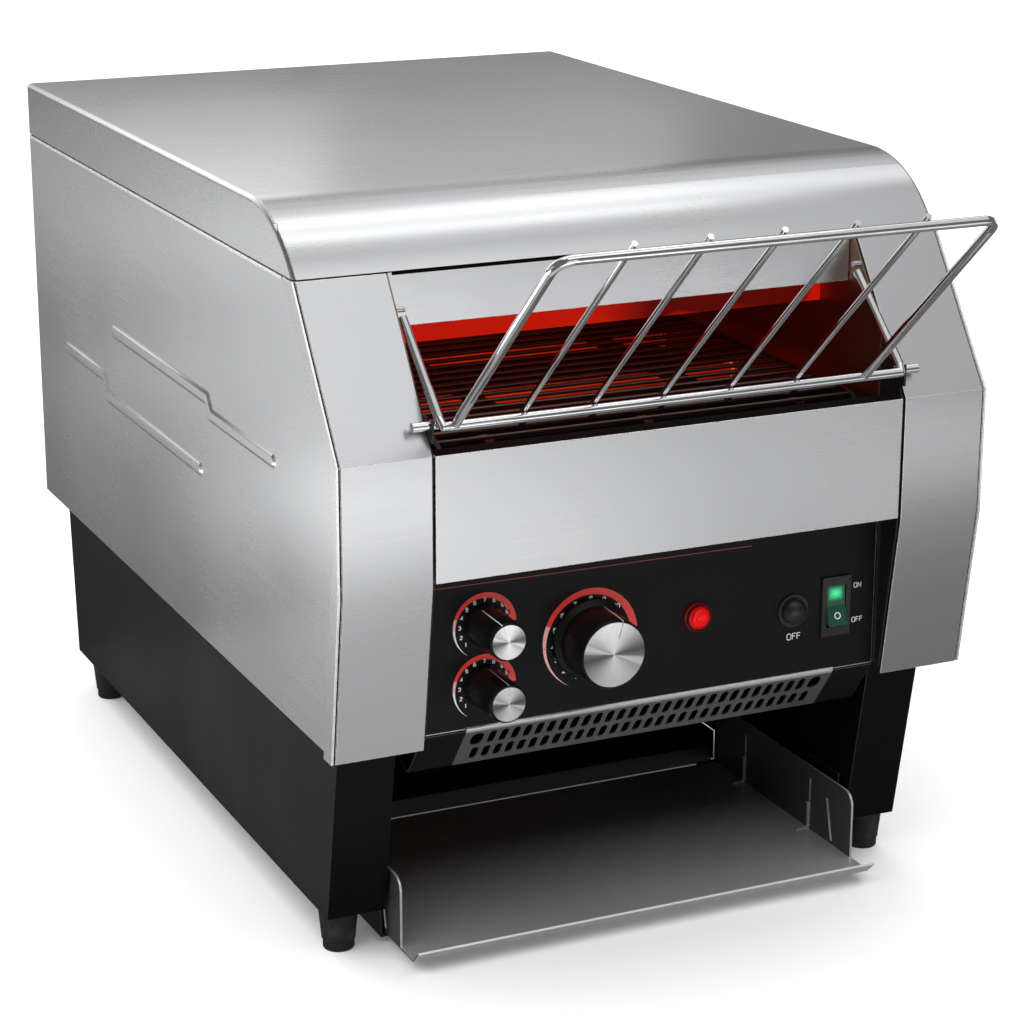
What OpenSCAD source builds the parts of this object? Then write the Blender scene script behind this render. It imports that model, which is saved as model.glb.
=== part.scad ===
// Counter-top conveyor toaster: steel casing on an inset base, wire loading
// rack, belt oven with heaters above and below, return chute and collecting
// tray, with its drive train and controls.
// X runs to the right seen from the front, Y to the back, Z up.
// y_front moves the vertical front plane so that the whole outline is centred.

/* [Casing] */
// Width of the casing over the side panels
body_w = 368; // [360:1:376]
// Depth of the casing from the vertical front plane to the back
body_d = 533; // [531:0.5:535]
// Height of the top of the cover above the bench
top_z = 397; // [396:0.5:398]
// Height of the cover's skirt
skirt_h = 31.5; // [30:0.5:31.5]
// Radius of the cover's front bend
bend_r = 75; // [74:0.5:75]
// Radius of the cover's rolled side edges
edge_r = 2.6; // [1.6:0.1:4]
// Sheet thickness of the casing
sheet = 1.2; // [0.8:0.1:1.2]
// Seam between the cover's skirt and the panels below it
seam = 0.8; // [0.3:0.1:1]
// How far the pillars' side flanges wrap round
flange_w = 10.5; // [8:0.5:14]
// Height of the raised beads on the side panels
bead_h = 1; // [0.4:0.1:1.2]
// Width of the pressed beads
bead_w = 6.4; // [4:0.2:8]

/* [Front openings] */
// Half the gap between the front pillars
pillar_x = 135; // [135:0.1:137]
// Bottom edge of the side panels
side_z = 130; // [129:0.5:131]
// Top edge of the steel front panel
panel_top_z = 285; // [283:0.5:286]
// Bottom edge of the steel front panel
panel_low_z = 219.4; // [219.3:0.1:221]

/* [Oven] */
// Height of the belt's shafts
shaft_z = 262; // [261:0.5:262]
// Distance of the front shaft behind the front plane
idler_y = 38; // [37:0.5:40]
// Distance of the rear shaft behind the front plane
drive_y = 425; // [420:1:430]
// Radius of the shafts
shaft_r = 5; // [4.5:0.25:5]
// Half the width of the belt
belt_x = 120; // [110:1:124]
// Number of cross wires round the belt
belt_n = 72; // [60:1:80]
// Radius of the cross wires
belt_wire_r = 1.25; // [1:0.05:1.3]
// Radius of the heater tubes
heater_r = 4; // [3:0.25:4]

/* [Loading rack] */
// Radius of the rack's frame rods
rod_r = 2.5; // [2:0.1:2.5]
// Radius of the fence's middle wires
wire_r = 1.6; // [1.2:0.1:1.6]
// Number of middle wires in the fence
wire_n = 5; // [3:1:7]

/* [Controls] */
// Radius of the large knob's face
big_knob_r = 18; // [17:0.25:19]
// Radius of the small knobs' faces
small_knob_r = 9.8; // [9:0.1:10.5]
// Pitch of the guard's slots
slot_pitch = 6.8; // [6.4:0.1:7.4]
// Width of the guard's slots
slot_w = 4; // [3:0.25:4.5]

/* [Chain drive] */
// Teeth on the shaft's sprocket
teeth_shaft = 15; // [14:1:16]
// Teeth on the motor's sprocket
teeth_motor = 10; // [9:1:10]

/* [Hidden] */
$fn = 48;

y_front = -215.25;
hw = body_w / 2;
t = sheet;
skirt_z = top_z - skirt_h;
wall_x = 133.6;          // oven walls, inner face
wall_t = 1.2;
panel_x = 133.3;         // panels between the walls
guard_x = 108.5;
base_x = 173.3;          // base sides, outer face
base_in = 141;           // base sides, inner face
base_low = 23;
belt_r = 20.75;          // centre line of the belt's cross wires
top_rod = [-116, 403.3];   // y, z
low_rod = [-1.8, 300];
pivot = [4.6, 299.4];
heat_up_y = [125, 215, 305, 395];
heat_low_y = [100, 185, 270, 355];
heat_up_z = 338;
heat_low_z = 258;
motor_yz = [355, 175];
chain_p = 6.35;
dials = [[-38.5, 171], [-98, 187], [-98, 154]];
lamp = [24, 174];
button = [82, 169];
rocker = [108.5, 168];

// outline of the front, from the cover down to the bottom of the pillars
face = [[87 * 57 / 80.5, 372], [0, 285], [0, 218], [14.5, 120]];

function unit(v) = v / norm(v);
function side(a, b) = let (d = unit(b - a)) [-d[1], d[0]];
function inset(p, g) = [for (i = [0:len(p) - 1])
    let (n1 = side(p[max(i - 1, 0)], p[max(i, 1)]),
         n2 = side(p[min(i, len(p) - 2)], p[min(i + 1, len(p) - 1)]))
    p[i] + g * (n1 + n2) / (1 + n1 * n2)];
function rev(p) = [for (i = [len(p) - 1:-1:0]) p[i]];
function ribbon(p, a, b) = concat(inset(p, a), rev(inset(p, b)));
function pitch_r(n) = chain_p / 2 / sin(180 / n);

// moves a piece from the front plane's frame to the part's own frame
module at() translate([0, y_front, 0]) children();
// stretches an outline drawn in Y and Z from x = a to x = b
module along_x(a, b) translate([a, 0, 0]) rotate([90, 0, 90])
    linear_extrude(b - a) children();
// stretches an outline drawn in X and Z from y = a to y = b
module along_y(a, b) translate([0, b, 0]) rotate([90, 0, 0])
    linear_extrude(b - a) children();
// stands a turned piece on the panel with its axis towards the front
module forward(x, y, z) translate([x, y, z]) rotate([90, 0, 0]) children();
module both() { children(); mirror([1, 0, 0]) children(); }
module sided(s) { if (s > 0) children(); else mirror([1, 0, 0]) children(); }
module band(z0, z1) intersection() {
    children();
    translate([-50, z0]) square([700, z1 - z0]);
}
module rod(a, b, r) translate(a)
    rotate([0, acos((b - a)[2] / norm(b - a)), atan2((b - a)[1], (b - a)[0])])
        cylinder(h = norm(b - a), r = r);
module rect(x0, x1, z0, z1) translate([x0, z0]) square([x1 - x0, z1 - z0]);
module slot2(w, l) {
    square([w, l - w], center = true);
    for (s = [-1, 1]) translate([0, s * (l - w) / 2]) circle(d = w);
}

// ---------------------------------------------------------------- casing
// closed hood with rolled side edges, inset by g and ending at z = low
module cover_shape(g, low) {
    r = edge_r - g;
    w = hw - g;
    along_y(118, body_d - g) {
        rect(-w, w, low, top_z - g - r);
        rect(-w + r, w - r, low, top_z - g);
        for (s = [-1, 1]) translate([s * (w - r), top_z - g - r]) circle(r = r);
    }
    intersection() {
        translate([0, 118, top_z - bend_r]) rotate([0, 90, 0])
            rotate_extrude($fn = 96) {
                rect(0, bend_r - g - r, -w, w);
                rect(0, bend_r - g, -w + r, w - r);
                for (s = [-1, 1]) translate([bend_r - g - r, s * (w - r)])
                    circle(r = r, $fn = 48);
            }
        translate([-hw - 1, 20, low]) cube([2 * hw + 2, 98, 100]);
    }
}
module top_cover() color([0.72, 0.73, 0.74]) at() difference() {
    cover_shape(0, skirt_z);
    cover_shape(t, skirt_z - 5);
    for (p = rear_screws_top) forward(p[0], body_d + 1, p[1])
        cylinder(h = 4, r = 2.1);
}
module side_outline() band(side_z, skirt_z - seam)
    polygon(concat(inset(face, 1.4), [[body_d, 120], [body_d, 372]]));
// two stiffening beads, each with one jog
beads = [[[364.2, 273.2], [193.9, 273.2], [188, 264.9], [92, 264.9]],
    [[466.6, 240.8], [388.1, 240.8], [380, 229.4], [210, 229.4]]];
module side_beads(w) for (b = beads) polygon(ribbon(b, -w / 2, w / 2));
module side_panel(s) color([0.7, 0.71, 0.72]) at() sided(s) {
    along_x(hw - t, hw) side_outline();
    for (i = [0:2]) along_x(hw - 0.1, hw + bead_h * [0.35, 0.75, 1][i])
        side_beads(bead_w - i * 0.9);
    // joggled flange behind the seam
    along_x(hw - t - 1.4, hw - t - 0.4)
        rect(70, body_d - 3, skirt_z - 7, skirt_z + 8);
    along_x(hw - t - 1.4, hw - 0.3)
        rect(70, body_d - 3, skirt_z - 7, skirt_z - 6);
    // turned lip just below the cover's skirt
    along_x(hw - 0.1, hw + 0.5)
        rect(72, body_d - 1, skirt_z - seam - 1.8, skirt_z - seam);
}
module left_side_panel() side_panel(-1);
module right_side_panel() side_panel(1);
module front_pillar(s) color([0.75, 0.76, 0.77]) at() sided(s) difference() {
    union() {
        along_x(pillar_x, hw + t) band(127, skirt_z - seam)
            polygon(ribbon(face, 0, t));
        along_x(hw, hw + t) band(127, skirt_z - seam)
            polygon(ribbon(face, 0, flange_w));
    }
    // seam between the face and the wrap-round flange
    along_x(hw - 1.3, hw - 0.1) polygon(ribbon(face, -2, 0.7));
}
module left_front_pillar() front_pillar(-1);
module right_front_pillar() front_pillar(1);
module front_panel() color([0.76, 0.77, 0.78]) at() {
    along_x(-panel_x, panel_x) {
        rect(0, t, panel_low_z, panel_top_z);
        rect(0, 12.6, panel_top_z - t, panel_top_z);
        rect(11.4, 12.6, panel_top_z - 16, panel_top_z);
        rect(0, 18.8, panel_low_z, panel_low_z + t);
    }
}
module upper_front_panel() color([0.76, 0.77, 0.78]) at()
    along_x(-panel_x, panel_x) {
        rect(59, 60.2, 336.5, 364.6);
        rect(59, 66, 336.5, 337.7);
    }

rear_screws = [for (x = [-170, -60, 60, 170], z = [142, 352]) [x, z]];
rear_screws_top = [for (x = [-150, 0, 150]) [x, 381]];
fan_z = 180;
gland = [-150, 165];
module rear_panel() color([0.7, 0.71, 0.72]) at() difference() {
    along_y(body_d - t, body_d) rect(-hw + t, hw - t, side_z + 1, skirt_z - 0.3);
    // air slots in front of the fan
    along_y(body_d - 3, body_d + 1) intersection() {
        translate([0, fan_z]) circle(r = 37);
        for (i = [-4:4]) translate([0, fan_z + i * 8]) rotate(90) slot2(4, 84);
    }
    // two banks of vent slots for the side bays
    along_y(body_d - 3, body_d + 1) for (s = [-1, 1], i = [0:8])
        translate([s * 145, 235 + i * 11]) rotate(90) slot2(4, 46);
    forward(gland[0], body_d + 1, gland[1]) cylinder(h = 4, r = 8);
    for (p = rear_screws) forward(p[0], body_d + 1, p[1])
        cylinder(h = 4, r = 2.1);
}
module case_screws() color([0.8, 0.8, 0.82]) at() {
    for (p = concat(rear_screws, rear_screws_top))
        translate([p[0], body_d, p[1]]) rotate([-90, 0, 0]) difference() {
            union() {
                intersection() {
                    cylinder(h = 2, r = 3.6);
                    translate([0, 0, -3.8]) sphere(r = 5.8);
                }
                translate([0, 0, -9]) cylinder(h = 9.01, r = 1.9);
            }
            for (a = [0, 90]) rotate(a) translate([-2.2, -0.4, 0.9])
                cube([4.4, 0.8, 2]);
        }
}

// -------------------------------------------------------------- controls
module panel_holes() {
    // room for the guard's rolled top edge
    rect(-guard_x - 0.3, guard_x + 0.3, 130, 133);
    for (d = dials) translate(d) circle(r = 5);
    translate(lamp) circle(r = 6.1);
    translate(button) circle(r = 8.05);
    translate(rocker) square([14.1, 26.1], center = true);
}
module control_panel() color([0.72, 0.72, 0.73]) at()
    along_y(20.3, 21.5) difference() {
        rect(-panel_x, panel_x, 131.5, 219.1);
        panel_holes();
    }
module control_overlay() color([0.05, 0.05, 0.055]) at()
    along_y(20, 20.3) difference() {
        rect(-panel_x + 0.7, panel_x - 0.7, 132.2, 219.1);
        panel_holes();
    }
guard_top = [19.4, 131.2];
guard_low = [39, 105];
guard_l = norm(guard_low - guard_top);
guard_a = -atan2(guard_top[1] - guard_low[1], guard_low[0] - guard_top[0]);
module in_guard() translate([0, guard_top[0], guard_top[1]])
    rotate([guard_a, 0, 0]) children();
module discharge_guard() color([0.45, 0.45, 0.46]) at() in_guard() {
    linear_extrude(t) difference() {
        translate([-guard_x, 0.8]) square([2 * guard_x, guard_l - 0.8]);
        for (i = [0:29]) translate([(i - 14.5) * slot_pitch, 23.4])
            slot2(slot_w, 10.2);
        for (i = [1:28]) translate([(i - 14.5) * slot_pitch, 9.8])
            slot2(slot_w, 11);
        for (s = [-1, 1]) translate([s * 14.75 * slot_pitch, 9.8])
            slot2(7, 10.6);
    }
    translate([-guard_x, 0.8, 1.3]) rotate([0, 90, 0])
        cylinder(h = 2 * guard_x, r = 1.3);
}
module control_box() color([0.04, 0.04, 0.045]) at() {
    // sloping floor and rear wall of the control bay
    along_x(-panel_x, panel_x)
        polygon(ribbon([[180, 233.6], [180, 178], [40.8, 105.6]], 0, t));
    // cheeks beside the guard
    both() in_guard() translate([guard_x + 0.3, 0.4, 0])
        cube([panel_x - guard_x - 0.3, guard_l - 0.4, t]);
    // bench lugs that carry the guard
    both() in_guard() translate([guard_x - 4.4, 2.9, t])
        cube([12.4, guard_l - 4.4, 1]);
}
module knob(r, l, skirt, bore_r) difference() {
    rotate_extrude() polygon([[0, 0], [skirt, 0], [skirt + 0.4, 0.8],
        [skirt, 2.6], [r + 0.9, 4.4], [r + 0.4, l - 1.2], [r, l - 0.3],
        [r - 0.3, l], [r - 0.7, l], [r - 0.7, l - 1], [0, l - 1]]);
    translate([0, 0, -1]) cylinder(h = l - 7, r = bore_r);
}
module knob_cap(r, l, a) difference() {
    translate([0, 0, l - 1]) cylinder(h = 1, r = r - 0.74);
    rotate(a) translate([-0.35, r * 0.5, l - 0.35]) cube([0.7, r, 1]);
}
module spindle(l) translate([0, 0, -26]) cylinder(h = 26 + l - 8.1, r = 3);
module small_knob(d) at() forward(d[0], 19.6, d[1]) {
    color([0.03, 0.03, 0.03]) knob(small_knob_r, 29, small_knob_r + 1.2, 3.03);
    color([0.6, 0.6, 0.6]) spindle(29);
}
module speed_knob() at() forward(dials[0][0], 19.6, dials[0][1]) {
    color([0.03, 0.03, 0.03]) knob(big_knob_r, 27.6, big_knob_r + 3.6, 3.03);
    color([0.6, 0.6, 0.6]) spindle(27.6);
}
module speed_knob_cap() color([0.85, 0.85, 0.86]) at()
    forward(dials[0][0], 19.6, dials[0][1]) knob_cap(big_knob_r, 27.6, -16);
module upper_heat_knob() small_knob(dials[1]);
module upper_heat_cap() color([0.85, 0.85, 0.86]) at()
    forward(dials[1][0], 19.6, dials[1][1]) knob_cap(small_knob_r, 29, 22);
module lower_heat_knob() small_knob(dials[2]);
module lower_heat_cap() color([0.85, 0.85, 0.86]) at()
    forward(dials[2][0], 19.6, dials[2][1]) knob_cap(small_knob_r, 29, 0);
module knob_switches() color([0.25, 0.2, 0.15]) at() for (i = [0:2])
    forward(dials[i][0], 48, dials[i][1]) difference() {
        union() {
            if (i == 0) cylinder(h = 26, r = 13);
            else translate([-15, -15, 4]) cube([30, 30, 22]);
            cylinder(h = 28, r = 4.8);
            for (a = [0, 120, 240]) rotate(a) translate([-1, 8, -5])
                cube([2, 0.8, 9.5]);
        }
        translate([0, 0, 1]) cylinder(h = 40, r = 3.05);
    }
module rocker_shape() along_x(-5.6, 5.6) polygon([[-3.4, 11], [-1.6, 0],
    [-3.4, -11], [1, -9.5], [5, -3.5], [5, 3.5], [1, 9.5]]);
module power_rocker() color([0.05, 0.35, 0.2]) at()
    translate([rocker[0], 20.5, rocker[1]]) {
        rotate([-11, 0, 0]) rocker_shape();
        rotate([0, 90, 0]) cylinder(h = 12.8, r = 1.2, center = true);
    }
module off_button() color([0.04, 0.04, 0.04]) at()
    forward(button[0], 26, button[1]) {
        cylinder(h = 9, r = 7);
        intersection() {
            translate([0, 0, 5.6]) sphere(r = 8);
            cylinder(h = 20, r = 7);
        }
        translate([0, 0, -14]) cylinder(h = 14.01, r = 2);
    }
module switch_housings() color([0.05, 0.05, 0.05]) at() {
    translate([rocker[0], 0, rocker[1]]) difference() {
        union() {
            along_y(18.4, 20) square([17.6, 33.3], center = true);
            along_y(20, 44) square([14, 26], center = true);
        }
        along_y(17, 36) square([11.8, 23.6], center = true);
        translate([0, 20.5, 0]) rotate([0, 90, 0])
            cylinder(h = 13, r = 1.25, center = true);
    }
    forward(button[0], 40, button[1]) difference() {
        union() {
            cylinder(h = 20, r = 8);
            translate([0, 0, 20]) cylinder(h = 1.4, r = 9.1);
        }
        translate([0, 0, 3]) cylinder(h = 30, r = 7.05);
        translate([0, 0, -1]) cylinder(h = 6, r = 2.05);
    }
}
module cycle_lamp() color([0.8, 0.02, 0.02]) at()
    forward(lamp[0], 44, lamp[1]) rotate_extrude()
        polygon([[0, 0], [5, 0], [5, 4], [6, 4], [6, 24], [8.3, 24],
            [8.3, 25.3], [8, 25.9], [7.4, 26.1], [7.1, 25.5], [6.8, 25.5],
            [6.5, 27], [6.2, 27.4], [5.4, 27.8], [5.2, 27.4], [4.9, 27.4],
            [4.7, 28.3], [4.2, 28.8], [3.3, 29.1], [3.1, 28.8], [2.8, 28.8],
            [2.6, 29.3], [1.6, 29.5], [0, 29.6]]);
module control_board() at() {
    color([0.05, 0.3, 0.12]) difference() {
        along_y(170, 171.6) rect(-70, 60, 184, 226);
        for (x = [-65, 55], z = [189, 221]) forward(x, 175, z)
            cylinder(h = 8, r = 1.6);
    }
    color([0.7, 0.7, 0.7]) for (x = [-65, 55], z = [189, 221])
        forward(x, 180, z) cylinder(h = 8.4, r = 3);
    color([0.1, 0.1, 0.1]) {
        translate([-50, 158, 192]) cube([22, 12, 18]);
        translate([-18, 150, 192]) cube([14, 20, 26]);
        translate([38, 160, 190]) cube([16, 10, 30]);
    }
    color([0.1, 0.15, 0.4]) for (x = [8, 24]) forward(x, 170, 205)
        cylinder(h = 16, r = 6);
}
module cord_gland() color([0.06, 0.06, 0.06]) at()
    translate([gland[0], body_d, gland[1]]) rotate([-90, 0, 0]) difference() {
        union() {
            cylinder(h = 6, r = 13, $fn = 6);
            rotate_extrude() polygon([[0, 0], [10.5, 0], [10.5, 12],
                [9.6, 14.6], [7.4, 16], [0, 16]]);
            translate([0, 0, -12]) cylinder(h = 12.01, r = 7.9);
            translate([0, 0, -t - 5]) cylinder(h = 5, r = 12, $fn = 6);
        }
        translate([0, 0, -20]) cylinder(h = 40, r = 4.6);
    }

// ------------------------------------------------------------------ base
base_front = [[34, 131], [54, base_low]];
base_rear = [[510.5, base_low], [520.5, 131]];
foot_y = [68, 479];
foot_x = 162;
module base_outline(g) polygon([base_front[0] + [g, 0], base_front[1] + [g, 0],
    base_rear[0] - [g, 0], base_rear[1] - [g, 0]]);
module base_side(s) color([0.04, 0.04, 0.045]) at() sided(s) difference() {
    union() {
        along_x(base_in, base_x) base_outline(0);
        along_x(base_x - 1, hw - t - 0.2) rect(20, body_d - 2, 129.4, 131);
    }
    along_x(base_in + 1.5, base_x - 1.5) intersection() {
        base_outline(1.5);
        rect(0, 600, base_low + 1.5, 140);
    }
    for (y = foot_y) translate([foot_x, y, base_low - 1])
        cylinder(h = 4, r = 3.2);
}
module left_base_side() base_side(-1);
module right_base_side() base_side(1);
module rear_base_panel() color([0.04, 0.04, 0.045]) at()
    along_x(-base_in, base_in) polygon([[509, base_low], [510.2, base_low],
        [520, 130.5], [518.8, 130.5]]);
module feet() color([0.03, 0.03, 0.03]) at() for (s = [-1, 1], y = foot_y)
    translate([s * foot_x, y, 0]) rotate_extrude() polygon([[0, 0], [8, 0],
        [8.5, 0.8], [8.5, 5.5], [9.2, 6], [9.2, 7], [10.9, base_low],
        [3.1, base_low], [3.1, base_low + 5], [0, base_low + 5]]);

// ------------------------------------------------------------------ oven
module oven_wall(s) color([0.2, 0.18, 0.17]) at() sided(s)
    along_x(wall_x, wall_x + wall_t) difference() {
        union() {
            band(side_z + 1.2, 364) polygon(concat(inset(face, 1.6),
                [[528, 120], [528, 372]]));
            rect(0.6, 16, 291.5, 303);
        }
        translate(pivot) circle(r = rod_r + 0.05);
        rect(pivot[0] - rod_r - 0.05, pivot[0] + rod_r + 0.05, pivot[1], 310);
        for (y = [idler_y, drive_y]) translate([y, shaft_z]) circle(r = 9.05);
        for (y = heat_up_y) translate([y, heat_up_z]) circle(r = 5.5);
        for (y = heat_low_y) translate([y, heat_low_z]) circle(r = 5.5);
    }
module left_oven_wall() oven_wall(-1);
module right_oven_wall() oven_wall(1);
module oven_ceiling() color([0.6, 0.25, 0.15]) at()
    along_x(-wall_x, wall_x) {
        rect(60.4, 511, 352, 353.2);
        rect(88, 89.2, 320, 352.5);
    }
module oven_floor() color([0.3, 0.28, 0.27]) at()
    along_x(-wall_x, wall_x) {
        rect(22.5, 400, 234, 235.2);
        rect(22.5, 23.7, 222, 234.5);
    }
module heaters(ys, z) for (y = ys) translate([0, y, z]) rotate([0, 90, 0]) {
    cylinder(h = 284, r = heater_r, center = true);
    cylinder(h = 300, r = 1.6, center = true);
}
module upper_heaters() color([1, 0.35, 0.1]) at() heaters(heat_up_y, heat_up_z);
module lower_heaters() color([1, 0.35, 0.1]) at()
    heaters(heat_low_y, heat_low_z);
module heater_insulators() color([0.85, 0.82, 0.75]) at() both()
    for (p = concat([for (y = heat_up_y) [y, heat_up_z]],
                    [for (y = heat_low_y) [y, heat_low_z]]))
        translate([wall_x - 2, p[0], p[1]]) rotate([0, 90, 0]) difference() {
            union() {
                cylinder(h = 2 + wall_t, r = 5.5);
                translate([0, 0, 2 + wall_t]) cylinder(h = 4, r = 7);
            }
            translate([0, 0, -1]) cylinder(h = 12, r = heater_r + 0.05);
        }

// belt: cross wires spaced evenly along a loop round the two shafts
belt_len = 2 * (drive_y - idler_y) + 2 * PI * belt_r;
function loop_at(s) = let (a = drive_y - idler_y, b = PI * belt_r)
    s < a ? [idler_y + s, shaft_z + belt_r]
    : s < a + b ? let (w = (s - a) / belt_r * 180 / PI)
        [drive_y + belt_r * sin(w), shaft_z + belt_r * cos(w)]
    : s < 2 * a + b ? [drive_y - (s - a - b), shaft_z - belt_r]
    : let (w = (s - 2 * a - b) / belt_r * 180 / PI)
        [idler_y - belt_r * sin(w), shaft_z - belt_r * cos(w)];
module loop2(r, c1, c2, r2 = -1) {
    // outline round two circles of radius r and r2, drawn as two discs
    // and the four-cornered piece between their tangent points
    q = r2 < 0 ? r : r2;
    d = c2 - c1;
    w = atan2(d[1], d[0]);
    a = acos((r - q) / norm(d));
    translate(c1) circle(r = r);
    translate(c2) circle(r = q);
    polygon([c1 + r * [cos(w + a), sin(w + a)], c1 + r * [cos(w - a), sin(w - a)],
        c2 + q * [cos(w - a), sin(w - a)], c2 + q * [cos(w + a), sin(w + a)]]);
}
module conveyor_belt() color([0.5, 0.5, 0.5]) at() {
    for (i = [0:belt_n - 1]) let (p = loop_at((i + 0.5) * belt_len / belt_n))
        translate([0, p[0], p[1]]) rotate([0, 90, 0])
            cylinder(h = 2 * belt_x - 3, r = belt_wire_r, center = true);
    for (s = [-1, 1]) along_x(s * belt_x - 1.4, s * belt_x + 1.4) difference() {
        loop2(belt_r + 1.25, [idler_y, shaft_z], [drive_y, shaft_z]);
        loop2(belt_r - 1.25, [idler_y, shaft_z], [drive_y, shaft_z]);
    }
}
module belt_runners() color([0.55, 0.55, 0.55]) at() {
    for (x = [-60, 60]) translate([x - 1.5, 84, 273.5]) cube([3, 306, 7.6]);
    for (y = [84, 387]) translate([-wall_x, y, 268])
        cube([2 * wall_x, 3, 5.5]);
    // shield between the idler shaft and the first lower heater
    translate([-wall_x, 84, 247]) cube([2 * wall_x, 1.2, 22]);
}
module shaft(a, b) rotate([0, 90, 0]) translate([0, 0, a])
    cylinder(h = b - a, r = shaft_r);
module drive_shaft() color([0.7, 0.7, 0.72]) at()
    translate([0, drive_y, shaft_z]) shaft(-141, 176);
module idler_shaft() color([0.7, 0.7, 0.72]) at()
    translate([0, idler_y, shaft_z]) shaft(-141, 141);
module sprockets(y) translate([0, y, shaft_z]) for (x = [-90, 0, 90])
    translate([x, 0, 0]) rotate([0, 90, 0]) difference() {
        union() {
            cylinder(h = 5, r = 18.8, center = true);
            cylinder(h = 16, r = 9.5, center = true);
        }
        for (a = [0:36:324]) rotate(a) translate([20, 0, 0])
            cylinder(h = 6, r = 2.4, center = true);
        cylinder(h = 20, r = shaft_r + 0.02, center = true);
    }
module drive_sprockets() color([0.55, 0.55, 0.56]) at() sprockets(drive_y);
module idler_sprockets() color([0.55, 0.55, 0.56]) at() sprockets(idler_y);
module shaft_bushes() color([0.7, 0.55, 0.25]) at() both()
    for (y = [idler_y, drive_y]) translate([wall_x - 2, y, shaft_z])
        rotate([0, 90, 0]) difference() {
            union() {
                cylinder(h = 2 + wall_t, r = 9);
                translate([0, 0, 2 + wall_t]) cylinder(h = 3.4, r = 13);
            }
            translate([0, 0, -1]) cylinder(h = 12, r = shaft_r + 0.05);
        }

// ----------------------------------------------------------------- drive
chain_x = 169.5;
module toothed(n, w) difference() {
    cylinder(h = w, r = pitch_r(n) + 1.5, center = true);
    for (i = [0:n - 1]) rotate(i * 360 / n) translate([pitch_r(n), 0, 0])
        cylinder(h = w + 1, r = 1.75, center = true);
}
module shaft_chain_sprocket() color([0.45, 0.45, 0.47]) at()
    translate([chain_x, drive_y, shaft_z]) rotate([0, 90, 0]) difference() {
        union() {
            toothed(teeth_shaft, 2.2);
            translate([0, 0, -9]) cylinder(h = 8.5, r = 9);
        }
        cylinder(h = 30, r = shaft_r, center = true);
    }
module motor_sprocket() color([0.45, 0.45, 0.47]) at()
    translate([chain_x, motor_yz[0], motor_yz[1]]) rotate([0, 90, 0]) union() {
        toothed(teeth_motor, 2.2);
        translate([0, 0, 0.5]) cylinder(h = 3.5, r = 6.5);
        translate([0, 0, -14]) cylinder(h = 19, r = 4);
    }
module drive_chain() color([0.35, 0.33, 0.3]) at() {
    c1 = [drive_y, shaft_z];
    r1 = pitch_r(teeth_shaft);
    r2 = pitch_r(teeth_motor);
    for (s = [-1, 1]) along_x(chain_x + s * 1.9 - 0.45, chain_x + s * 1.9 + 0.45)
        difference() {
            loop2(r1 + 2.4, c1, motor_yz, r2 + 2.4);
            loop2(r1 - 2.4, c1, motor_yz, r2 - 2.4);
        }
    // pins on the two straight runs
    d = motor_yz - c1;
    w = atan2(d[1], d[0]);
    a = acos((r1 - r2) / norm(d));
    for (s = [-1, 1], i = [4:13]) let (n = [cos(w + s * a), sin(w + s * a)],
        p = c1 + r1 * n, q = motor_yz + r2 * n, m = p + (q - p) * i / 17)
        translate([chain_x, m[0], m[1]]) rotate([0, 90, 0])
            cylinder(h = 5.6, r = 1.5, center = true);
}
module gearmotor() color([0.3, 0.3, 0.32]) at() difference() {
    union() {
        translate([138.4, 325, 145]) cube([24, 60, 60]);
        translate([159, 326, 172]) rotate([90, 0, 0]) cylinder(h = 88, r = 20);
        translate([159, 238, 172]) rotate([90, 0, 0]) cylinder(h = 6, r = 14);
    }
    translate([140, motor_yz[0], motor_yz[1]]) rotate([0, 90, 0])
        cylinder(h = 40, r = 4.05);
}
module motor_bracket() color([0.6, 0.6, 0.6]) at()
    along_x(wall_x + wall_t, 138.4) difference() {
        rect(312, 398, 138, 212);
        translate(motor_yz) circle(r = 12);
    }

// ------------------------------------------------------------------- fan
module fan_frame() color([0.08, 0.08, 0.08]) at() translate([0, 0, fan_z]) {
    difference() {
        along_y(517, body_d - t) square([80, 80], center = true);
        along_y(516, body_d) circle(r = 38);
    }
    difference() {
        along_y(517, 519.6) {
            circle(r = 15);
            for (a = [0:120:240]) rotate(a + 30) rect(0, 38.5, -2, 2);
        }
        along_y(510, 540) circle(r = 2.55);
    }
}
module fan_rotor() color([0.12, 0.12, 0.12]) at() translate([0, 0, fan_z]) {
    along_y(520.4, 530) circle(r = 15);
    along_y(517.4, 520.5) circle(r = 2.5);
    intersection() {
        along_y(520.6, 530) difference() {
            circle(r = 36.8);
            circle(r = 14);
        }
        for (a = [0:360 / 7:359]) rotate([0, a, 0])
            translate([26, 525.3, 0]) rotate([38, 0, 0])
                cube([24, 1.6, 16], center = true);
    }
}

// ------------------------------------------------- chute, tray and rails
chute_c = [432, 215];
chute_r = 80;
chute_a = 63;            // how far the chute's bend turns
module discharge_chute() color([0.55, 0.55, 0.56]) at() {
    // lower end, as wide as the base, with a lip turned down
    along_x(-base_in + 0.6, base_in - 0.6) {
        translate(chute_c) rotate(-chute_a) translate([chute_r, -290])
            square([t, 244]);
        rect(209.6, 210.8, 2, 12.6);
    }
    along_x(-wall_x, wall_x) {
        rect(512.1, 511.9 + t, chute_c[1] - 2, 331);
        translate(chute_c) intersection() {
            difference() {
                circle(r = chute_r + t, $fn = 96);
                circle(r = chute_r, $fn = 96);
            }
            polygon([[0, 0], [120, 0], [120, -60], [120 * cos(chute_a),
                -120 * sin(chute_a)]]);
        }
        translate(chute_c) rotate(-chute_a) translate([chute_r + 0.1, -280])
            square([t - 0.2, 282]);
    }
}
tray_x = 138;
tray_front = 40;
tray_rear = 198;
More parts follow.
